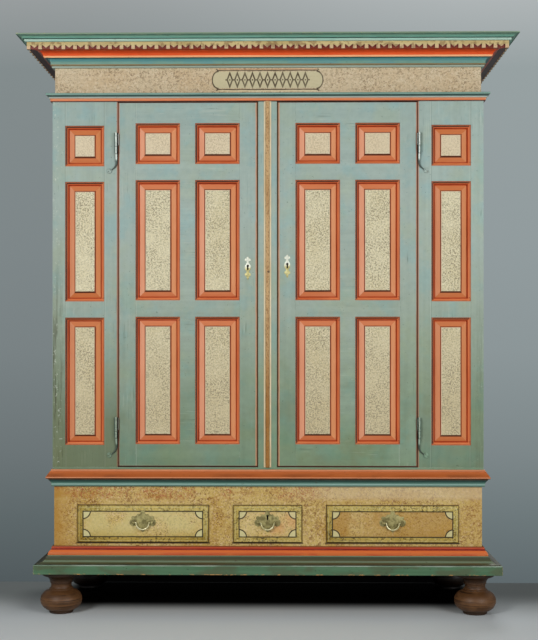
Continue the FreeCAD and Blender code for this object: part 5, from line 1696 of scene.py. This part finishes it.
# ---------------------------------------------------------------- hinges
@dataclass(frozen=True)
class RatTail:
    """Rat-tail hinge: a pintle with its tail and leaf on the frame, a knuckle on the door.

    Lengths are in millimetres, as in the profiles.
    """

    side: Side
    name: str
    level: float
    x: float = 559.5
    out: float = 8.0
    barrel: float = 7.0
    pin: float = 4.0
    knuckle: float = 44.0
    collar: float = 24.0
    straight: float = 38.0
    bend: float = 28.0
    turn: float = 50.0
    run: float = 14.0
    broad: float = 5.2
    narrow: float = 1.9
    thick: float = 2.7
    clearance: float = 0.2
    cap: float = 4.0
    door_edge: float = 551.0
    leaf_thick: float = 3.0
    leaf_back: float = 24.0

    def axis_y(self) -> float:
        """Where the hinge turns, in metres."""
        return FRONT_Y - self.out * MM

    def build(self, iron: Material) -> None:
        """Make both halves."""
        self.build_pintle(iron)
        self.build_knuckle(iron)

    def build_pintle(self, iron: Material) -> None:
        """Collar, pin, tail and nailed leaf."""
        bm = bmesh.new()
        radius = self.barrel - 0.4
        top = self.collar
        profile = [(0, -8), (3.2, -8), Bend((5.4, -4.5), (radius, 0)), (radius, 5), (radius - 0.6, 5.8),
                   (radius, 6.6), (radius, top - 6), (radius - 0.7, top - 5), (self.barrel, top - 4),
                   (self.barrel, top - 0.4), (self.barrel - 0.4, top), (self.pin, top),
                   (self.pin, top + self.knuckle - 6), (0, top + self.knuckle - 6)]
        base = self.level - self.collar
        place = self.side.turn @ upright(self.x * MM, self.axis_y(), base * MM)
        turned(bm, profile, place, 28)
        flat = self.side.turn @ upright(0.0, FRONT_Y, base * MM)
        stations = self.tail()
        drawn_bar(bm, stations, flat)
        tip = stations[-1].centre
        face = self.side.turn @ on_face(0.0, FRONT_Y, base * MM)
        cut_plate(bm, [self.leaf(tip.x - 2, tip.z)], 2.8, face, 1.0)
        for right, up in ((2.5, 3.5), (9.5, -2.5)):
            turned(bm, [(0, 1.5), (2.0, 1.5), (2.0, 3.0), Bend((1.4, 3.9), (0, 4.2))],
                   face @ Matrix.Translation((tip.x + right, tip.z + up, 0)), 14, count=4)
        seat = Seat("case", "wrought_iron", ("hinge_pintles",))
        place_piece(bm, f"pintle_{self.side.word}_{self.name}", [iron], seat, 45.0)

    def tail(self) -> List[Station]:
        """Sections of the tail: down the frame, a bend outwards, a short run."""
        start = Vector((self.x, -self.out, -4.0))
        lean = Vector((self.x, -self.thick, -self.straight))
        elbow = lean + Vector((self.bend, 0, 0))
        centres = [start.lerp(lean, share) for share in (0.0, 0.25, 0.5, 0.75)]
        steps = 8
        for index in range(steps + 1):
            angle = math.radians(self.turn) * index / steps
            centres.append(elbow - Vector((self.bend * math.cos(angle), 0, self.bend * math.sin(angle))))
        ahead = Vector((math.sin(angle), 0, -math.cos(angle)))
        centres.extend([centres[-1] + ahead * self.run * share for share in (0.5, 1.0)])
        last = len(centres) - 1
        widths = [self.broad + (self.narrow - self.broad) * (index / last) ** 1.5
                  for index in range(len(centres))]
        return [Station(centre, width, self.thick * (0.55 + 0.45 * width / self.broad))
                for centre, width in zip(centres, widths)]

    @staticmethod
    def leaf(x: float, z: float) -> List[Point]:
        """Outline of the leaf that ends the tail."""
        return trace([
            (x, z), Bend((x + 3, z + 8), (x + 10, z + 8.5)), Bend((x + 16, z + 5), (x + 16, z - 3)),
            Bend((x + 13, z - 10), (x + 6, z - 10)), Bend((x, z - 7), (x - 2, z - 3)),
        ], 7)

    def build_knuckle(self, iron: Material) -> None:
        """Bored knuckle with a domed cap, and its leaf in the door's edge."""
        bm = bmesh.new()
        bore = self.pin + 0.05
        high = self.knuckle
        profile = [(0, high - 4), (bore, high - 4), (bore, 0), (self.barrel - 0.4, 0), (self.barrel, 0.4),
                   (self.barrel, 7), (self.barrel - 0.7, 7.8), (self.barrel, 8.6),
                   (self.barrel, high - 8.6), (self.barrel - 0.7, high - 7.8), (self.barrel, high - 7),
                   (self.barrel, high - 0.4), Bend((5.4, high + 2.6), (0, high + self.cap))]
        low = self.level + self.clearance
        turned(bm, profile, self.side.turn @ upright(self.x * MM, self.axis_y(), low * MM), 28)
        leaf_low = Vector((self.door_edge, -self.out, 0.0))
        leaf_high = Vector((self.door_edge + self.leaf_thick, self.leaf_back, high))
        cube = bmesh.ops.create_cube(bm, size=1.0)["verts"]
        size = Matrix.Diagonal((*(leaf_high - leaf_low), 1.0))
        place = (self.side.turn @ upright(0.0, FRONT_Y, low * MM)
                 @ Matrix.Translation((leaf_low + leaf_high) / 2) @ size)
        bmesh.ops.transform(bm, matrix=place, verts=cube)
        seat = Seat("door_" + self.side.word, "wrought_iron", ("hinge_leaves_" + self.side.word,))
        place_piece(bm, f"knuckle_{self.side.word}_{self.name}", [iron], seat, 45.0)


# ---------------------------------------------------------------- brassware
def keyhole(x: float, z: float) -> List[Point]:
    """Keyhole outline round a point: round above, slot below."""
    eye, slot, eye_up, foot = 4.4, 2.8, 5.0, 10.0
    shoulder = z + eye_up - math.sqrt(eye ** 2 - slot ** 2)
    return trace([(x - slot, z - foot), (x + slot, z - foot), (x + slot, shoulder),
                  Bend((x, z + eye_up + eye), (x - slot, shoulder))], 16)


@dataclass(frozen=True)
class Escutcheon:
    """Scalloped keyhole plate on a door, held by small brass nails."""

    side: Side
    thick: float = 1.6
    outline: Tuple[Step, ...] = (
        (0, 40), Bend((2.8, 37), (3.8, 33)), Bend((10.4, 30), (4.6, 23)), Bend((3.8, 19), (5, 15)),
        Bend((9.2, 9), (10.5, 1)), Bend((9.6, -7), (5.4, -13)), Bend((4.6, -17), (6, -20)),
        Bend((11, -27), (6, -33)), Bend((4, -36), (4, -39)), (0, -47),
    )
    nails: Tuple[Point, ...] = ((0, 34.5), (-6.2, 28), (6.2, 28), (0, -37), (0, 19))

    def build(self) -> None:
        """Cut the plate and drive its nails."""
        node = "escutcheon_" + self.side.word
        low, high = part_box(node)
        middle_x = (low.x + high.x) / 2
        keyhole_z = high.z - self.outline[0][1] * MM
        # Above the keyhole the brass takes a painted highlight.
        brass = MetalFinish(node + "_brass", srgb(216, 208, 148), srgb(180, 168, 104),
                            srgb(104, 92, 52), 0.25, 0.36, keyhole_z).material()
        bm = bmesh.new()
        face = on_face(middle_x, FRONT_Y, keyhole_z)
        cut_plate(bm, [symmetric(self.outline), keyhole(0, 0)], self.thick, face, 0.35)
        for x, z in self.nails:
            turned(bm, [(0, 1.0), (1.5, 1.0), (1.5, 1.7), Bend((1.1, 2.3), (0, 2.6))],
                   face @ Matrix.Translation((x, z, 0)), 12, count=4)
        place_piece(bm, node + "_plate", [brass], Seat("door_" + self.side.word, "brass", (node,)), 40.0)


@dataclass(frozen=True)
class DrawerPull:
    """Bat-wing plate with two posts, and a bail that swings between them (millimetres)."""

    name: str
    has_keyhole: bool
    level: float = 340.0
    post_x: float = 34.0
    thick: float = 1.6
    axis_out: float = 12.2
    pin: float = 1.8
    grip: float = 3.0
    reach: float = 23.5
    drop: float = 26.0
    outline: Tuple[Step, ...] = (
        (0, 44), Bend((6, 42), (8, 34)), Bend((13, 29), (20, 31)), Bend((24, 24), (31, 21)),
        Bend((40, 21), (42, 15)), (39, 10), Bend((47, 6), (47.5, -3)), Bend((42, -13), (32, -15)),
        Bend((29, -12), (24, -14)), Bend((21, -23), (12, -23)), Bend((8, -27), (6, -32)), (0, -37),
    )

    def build(self, brass: Material, bright: Material) -> None:
        """Make plate, posts and bail."""
        low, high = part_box("drawer_front_" + self.name)
        face = on_face((low.x + high.x) / 2, low.y, self.level * MM)
        bm = bmesh.new()
        holes = [keyhole(0, 18)] if self.has_keyhole else []
        cut_plate(bm, [symmetric(self.outline)] + holes, self.thick, face, 0.45)
        for x in (-self.post_x, self.post_x):
            turned(bm, [(0, 0.6), (7, 0.6), (7, 3.1), Bend((4.6, 5.1), (4.2, 7.6)),
                        Bend((6.6, 12.2), (4.2, 16.6)), (0, 18.1)],
                   face @ Matrix.Translation((x, 0, 0)), 24, count=7)
        node = "pull_plate_" + self.name
        place_piece(bm, node + "_brass", [brass], Seat("drawer_" + self.name, "brass", (node,)), 40.0)
        self.build_bail(face, bright)

    def build_bail(self, face: Matrix, bright: Material) -> None:
        """Bow that swells towards its middle, between two thin pins."""
        elbow = 2.4
        path = trace([
            (-self.post_x - 5, 0), (-self.reach - elbow, 0),
            Bend((-self.reach - 0.7, -0.7), (-self.reach, -elbow)), (-self.reach, -4),
            Bend((0, -self.drop), (self.reach, -4)), (self.reach, -elbow),
            Bend((self.reach + 0.7, -0.7), (self.reach + elbow, 0)), (self.post_x + 5, 0),
        ], 12)
        stations = []
        for x, z in path:
            fullness = min(1.0, max(0.0, -z / (self.drop * 0.75)))
            radius = self.pin + (self.grip - self.pin) * fullness ** 0.6
            stations.append(Station(Vector((x, -self.axis_out, z)), radius, radius))
        bm = bmesh.new()
        flat = Matrix.Translation(face.translation) @ Matrix.Scale(MM, 4)
        drawn_bar(bm, stations, flat, 16)
        node = "bail_" + self.name
        seat = Seat("bail_body_" + self.name, "brass", (node,))
        place_piece(bm, node + "_brass", [bright], seat, 50.0)


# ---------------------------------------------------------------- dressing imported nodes
def dress(node: str, material: Material) -> None:
    """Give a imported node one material."""
    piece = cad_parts[node]
    piece.data.materials.clear()
    piece.data.materials.append(material)
    LOG.info("dressed %s with %s", node, material.name)


class PaintedWork:
    """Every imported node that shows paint."""

    DOOR_SEAMS = (0.103, 0.489)
    FIXED_SEAMS = (0.605, 0.750)

    def build(self) -> None:
        """Dress frames, panels, boards and drawer fronts."""
        self.frames()
        self.boards()

    def frames(self) -> None:
        """Panelled work on the front and both ends."""
        front, end = FrameAxis.FRONT, FrameAxis.END
        stiles = FrameFinish("door_stile_paint", Run.UPRIGHT, front, (), Edging.DOOR).material()
        rails = FrameFinish("door_rail_paint", Run.LEVEL, front, self.DOOR_SEAMS, Edging.DOOR).material()
        fixed = FrameFinish("fixed_frame_paint", Run.UPRIGHT, front, self.FIXED_SEAMS,
                            Edging.CORNER).material()
        middle = FrameFinish("centre_stile_paint", Run.UPRIGHT, front).material()
        ends = FrameFinish("end_frame_paint", Run.UPRIGHT, end).material()
        panels = PanelFinish("front_panel_paint", front).material()
        end_panels = PanelFinish("end_panel_paint", end).material()
        for side in Side:
            dress("door_stiles_" + side.word, stiles)
            dress("door_rails_" + side.word, rails)
            dress("door_panels_" + side.word, panels)
            dress("front_frame_" + side.word, fixed)
            dress("end_frame_" + side.word, ends)
        dress("front_panels", panels)
        dress("end_panels", end_panels)
        dress("centre_stile", middle)
        dress("front_rails", PlainTeal("front_rail_paint", Run.LEVEL).material())
        dress("centre_bead", BeadFinish.material())

    def boards(self) -> None:
        """Sponged boards, drawer fronts and dentils."""
        case_paint = BoardFinish("drawer_case_paint", CASE_SPONGING).material()
        dress("drawer_face_frame", case_paint)
        dress("drawer_case_ends", case_paint)
        dress("frieze_boards", FriezeFinish.material())
        dress("dentil_strip", DentilFinish.material())
        finishes = (DrawerFinish("drawer_front_left", soiling=0.75),
                    DrawerFinish("drawer_front_centre", tone=srgb(206, 146, 88), soiling=0.3),
                    DrawerFinish("drawer_front_right", tone=srgb(162, 112, 24), covered=0.9))
        for finish in finishes:
            dress(finish.node, finish.material())


class BareWork:
    """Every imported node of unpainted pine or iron."""

    BACK = ("back_boards",)
    UPRIGHT = ("centre_partition",)
    LEVEL = ("top_boards", "case_floor", "shelves", "peg_rail", "base_board")
    INWARD = ("drawer_guides", "shelf_cleats", "drawer_box_left", "drawer_box_centre",
              "drawer_box_right")
    IRON = ("door_lock_left", "door_lock_right", "door_bolt_left", "door_bolt_right", "drawer_lock",
            "drawer_bolt")

    def build(self) -> Material:
        """Dress the nodes.

        Returns:
            The level pine, which the mouldings' hidden sides take as well.
        """
        level = Pine.material("bare_pine_level", Run.LEVEL)
        grains = (
            (self.BACK, BackBoards.material()),
            (self.UPRIGHT, Pine.material("bare_pine_upright", Run.UPRIGHT)),
            (self.LEVEL, level),
            (self.INWARD, Pine.material("bare_pine_inward", Run.INWARD)),
            (self.IRON, MetalFinish("black_iron", srgb(96, 92, 86), srgb(58, 54, 50), srgb(96, 58, 34),
                                    0.75, 0.5).material()),
        )
        for nodes, material in grains:
            for node in nodes:
                dress(node, material)
        return level


# ---------------------------------------------------------------- stage
def seeing_rays(tree: bpy.types.NodeTree) -> Socket:
    """1 for camera, glossy and transmission rays, 0 for those that only light."""
    rays = tree.nodes.new("ShaderNodeLightPath")
    seen = rays.outputs["Is Camera Ray"]
    for name in ("Is Glossy Ray", "Is Transmission Ray"):
        either = tree.nodes.new("ShaderNodeMath")
        either.operation = "MAXIMUM"
        tree.links.new(seen, either.inputs[0])
        tree.links.new(rays.outputs[name], either.inputs[1])
        seen = either.outputs[0]
    return seen


@dataclass(frozen=True)
class Lamp:
    """One square soft lamp."""

    name: str
    place: Triple
    aim: Triple
    size: float
    power: float

    def build(self) -> None:
        """Hang the lamp and point it."""
        data = bpy.data.lights.new(self.name, "AREA")
        data.shape = "SQUARE"
        data.size = self.size
        data.energy = self.power
        lamp = put(self.name, data)
        lamp.location = self.place
        way = Vector(self.aim) - Vector(self.place)
        lamp.rotation_euler = way.to_track_quat("-Z", "Y").to_euler()


@dataclass
class Studio:
    """Floor, backdrop, lamps and camera."""

    LAMPS = (
        Lamp("key", place=(-2.3, -4.1, 2.35), aim=(0.0, 0.0, 1.0), size=1.1, power=99.0),
        Lamp("fill", place=(2.8, -4.0, 1.9), aim=(0.0, 0.0, 0.9), size=2.0, power=94.0),
        Lamp("behind", place=(1.2, 3.6, 3.4), aim=(0.0, 0.3, 1.0), size=2.0, power=78.0),
    )
    WORLD = (0.92, 0.95, 1.0, 1.0)
    WORLD_LIGHTS = 0.14
    WORLD_SHOWS = 0.42

    camera_x: float = 0.068
    camera_distance: float = 4.4
    camera_height: float = 1.010
    focal_pixels: float = 1190.0
    image_height: float = 640.0
    sensor: float = 36.0
    yaw: float = 0.815
    horizon_drop: float = 21.0

    def build(self) -> None:
        """Make the whole stage."""
        self.floor()
        self.lamps()
        self.camera()

    @staticmethod
    def floor_paint() -> Material:
        """Pale floor, darker towards the right, with painted shade greying it towards the wall and a painted
        shadow under the case.
        """
        graph = Graph("stage_floor")
        cloud = graph.noise(graph.place, 1.2, 2.0)
        colour = graph.coat(srgb(222, 228, 229), srgb(228, 234, 235), cloud)
        # Painted shade: grey towards the wall.
        far = graph.times(graph.ease(graph.y, -0.36, 0.16),
                          graph.ease(graph.y, BACK_Y + 0.60, BACK_Y + 0.05))
        colour = graph.coat(colour, srgb(98, 105, 104), far, 0.85)
        colour = graph.scaled(colour, graph.between(graph.ease(graph.x, 0.5, 1.1), 1.0, 0.72))
        # Painted shadow: near black underneath the case.
        covered = graph.times(graph.ease(graph.aside, CASE_HALF + 0.05, CASE_HALF - 0.03),
                              graph.ease(graph.y, -0.19, -0.02),
                              graph.ease(graph.y, BACK_Y + 0.03, BACK_Y))
        colour = graph.coat(colour, srgb(2, 2, 2), covered, 0.995)
        return graph.finish(colour, 0.9, ease_radius=0.0, specular=0.0)

    # Painted light on the wall: darker low down, paler higher up.
    WALL_HEIGHTS = (
        (0.0, srgb(84, 93, 96)),
        (0.26, srgb(97, 107, 109)),
        (0.55, srgb(112, 121, 123)),
        (0.97, srgb(125, 134, 136)),
        (1.40, srgb(130, 139, 141)),
        (2.15, srgb(135, 144, 145)),
        (2.45, srgb(157, 162, 163)),
    )

    def wall_paint(self) -> Material:
        """Grey wall that shows from the front alone, and neither shades nor lights the room; its grading,
        darker low down and lighter to the right, is painted light, and it is black under the case as painted
        shadow.
        """
        graph = Graph("stage_wall")
        colour = graph.ramp(graph.z, self.WALL_HEIGHTS)
        # Painted light: lighter towards the right.
        across = graph.ease(graph.x, -1.0, 1.0)
        colour = graph.scaled(colour, graph.between(across, 0.94, 1.28))
        # Painted shadow: black under the case.
        covered = graph.times(graph.ease(graph.aside, CASE_HALF + 0.07, CASE_HALF + 0.01),
                              graph.ease(graph.z, 0.24, 0.16))
        colour = graph.coat(colour, srgb(3, 3, 3), covered)
        glow = graph.node("ShaderNodeEmission", {"Color": colour})
        clear = graph.node("ShaderNodeBsdfTransparent")
        seen = graph.times(seeing_rays(graph.tree), graph.less(1.0, graph.geometry.outputs["Backfacing"]))
        shaders = {0: seen, 1: clear.outputs[0], 2: glow.outputs[0]}
        return graph.close(graph.node("ShaderNodeMixShader", shaders))

    def floor(self) -> None:
        """Floor all round, and a wall close behind."""
        wall = Matrix.Translation((0.0, BACK_Y + 0.01, 3.0)) @ Matrix.Rotation(math.pi / 2, 4, "X")
        for name, material, place, length, width in (
            ("studio_floor", self.floor_paint(), Matrix.Identity(4), 8.0, 8.0),
            ("studio_wall", self.wall_paint(), wall, 8.0, 3.0),
        ):
            bm = bmesh.new()
            size = Matrix.Diagonal((length, width, 1.0, 1.0))
            bmesh.ops.create_grid(bm, x_segments=1, y_segments=1, size=1.0, matrix=place @ size)
            mesh = bpy.data.meshes.new(name)
            bm.to_mesh(mesh)
            bm.free()
            mesh.materials.append(material)
            put(name, mesh)

    def lamps(self) -> None:
        """Soft key from the upper left, weaker fill from the right, a lamp behind, dim world."""
        for lamp in self.LAMPS:
            lamp.build()
        world = bpy.data.worlds.new("studio")
        world.use_nodes = True
        tree = world.node_tree
        background = tree.nodes["Background"]
        background.inputs["Color"].default_value = self.WORLD
        strength = tree.nodes.new("ShaderNodeMapRange")
        strength.inputs["To Min"].default_value = self.WORLD_LIGHTS
        strength.inputs["To Max"].default_value = self.WORLD_SHOWS
        tree.links.new(seeing_rays(tree), strength.inputs["Value"])
        tree.links.new(strength.outputs["Result"], background.inputs["Strength"])
        bpy.context.scene.world = world

    def camera(self) -> None:
        """Long lens at the cupboard's mid height, a little to the right of its middle."""
        data = bpy.data.cameras.new("camera")
        data.sensor_width = self.sensor
        data.lens = self.focal_pixels / self.image_height * self.sensor
        data.shift_y = self.horizon_drop / self.image_height
        camera = put("camera", data)
        camera.location = (self.camera_x, FRONT_Y - self.camera_distance, self.camera_height)
        camera.rotation_euler = (math.pi / 2, 0.0, math.radians(self.yaw))
        bpy.context.scene.camera = camera


def build_hinges() -> None:
    """The four hinges, at the levels where their packed knuckles rest."""
    iron = PaintedIron.material()
    for side in Side:
        low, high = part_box("hinge_leaves_" + side.word)
        below, above = RatTail.clearance, RatTail.knuckle + RatTail.cap
        levels = {"lower": low.z / MM - below, "upper": high.z / MM - above - below}
        for name, level in levels.items():
            RatTail(side, name, level).build(iron)


def build_brassware() -> None:
    """Escutcheons and drawer pulls."""
    # The pull plates' dark rim is partly painted shadow round them.
    plate = MetalFinish("pull_brass", srgb(168, 158, 102), srgb(112, 103, 56), srgb(44, 34, 14), 0.30,
                        0.42, rim=srgb(36, 26, 12)).material()
    bright = MetalFinish("bail_brass", srgb(228, 220, 176), srgb(188, 180, 126), srgb(84, 74, 44), 0.40,
                         0.32).material()
    for side in Side:
        Escutcheon(side).build()
    for name in DRAWERS:
        DrawerPull(name, name == "centre").build(plate, bright)


def main() -> None:
    """Build and dress everything."""
    logging.basicConfig(level=logging.INFO, format="%(name)s: %(message)s")
    bpy.context.scene.view_settings.view_transform = "Standard"
    PaintedWork().build()
    bare = BareWork().build()
    for moulding in (BASE, WAIST, ARCHITRAVE, BED, CORNICE):
        moulding.build(bare)
    stain = TurnedFinish.material()
    for row in ("front", "back"):
        for side in Side:
            BunFoot(f"foot_{row}_{side.word}").build(stain)
    build_hinges()
    build_brassware()
    Studio().build()


if __name__ == "__main__":
    main()
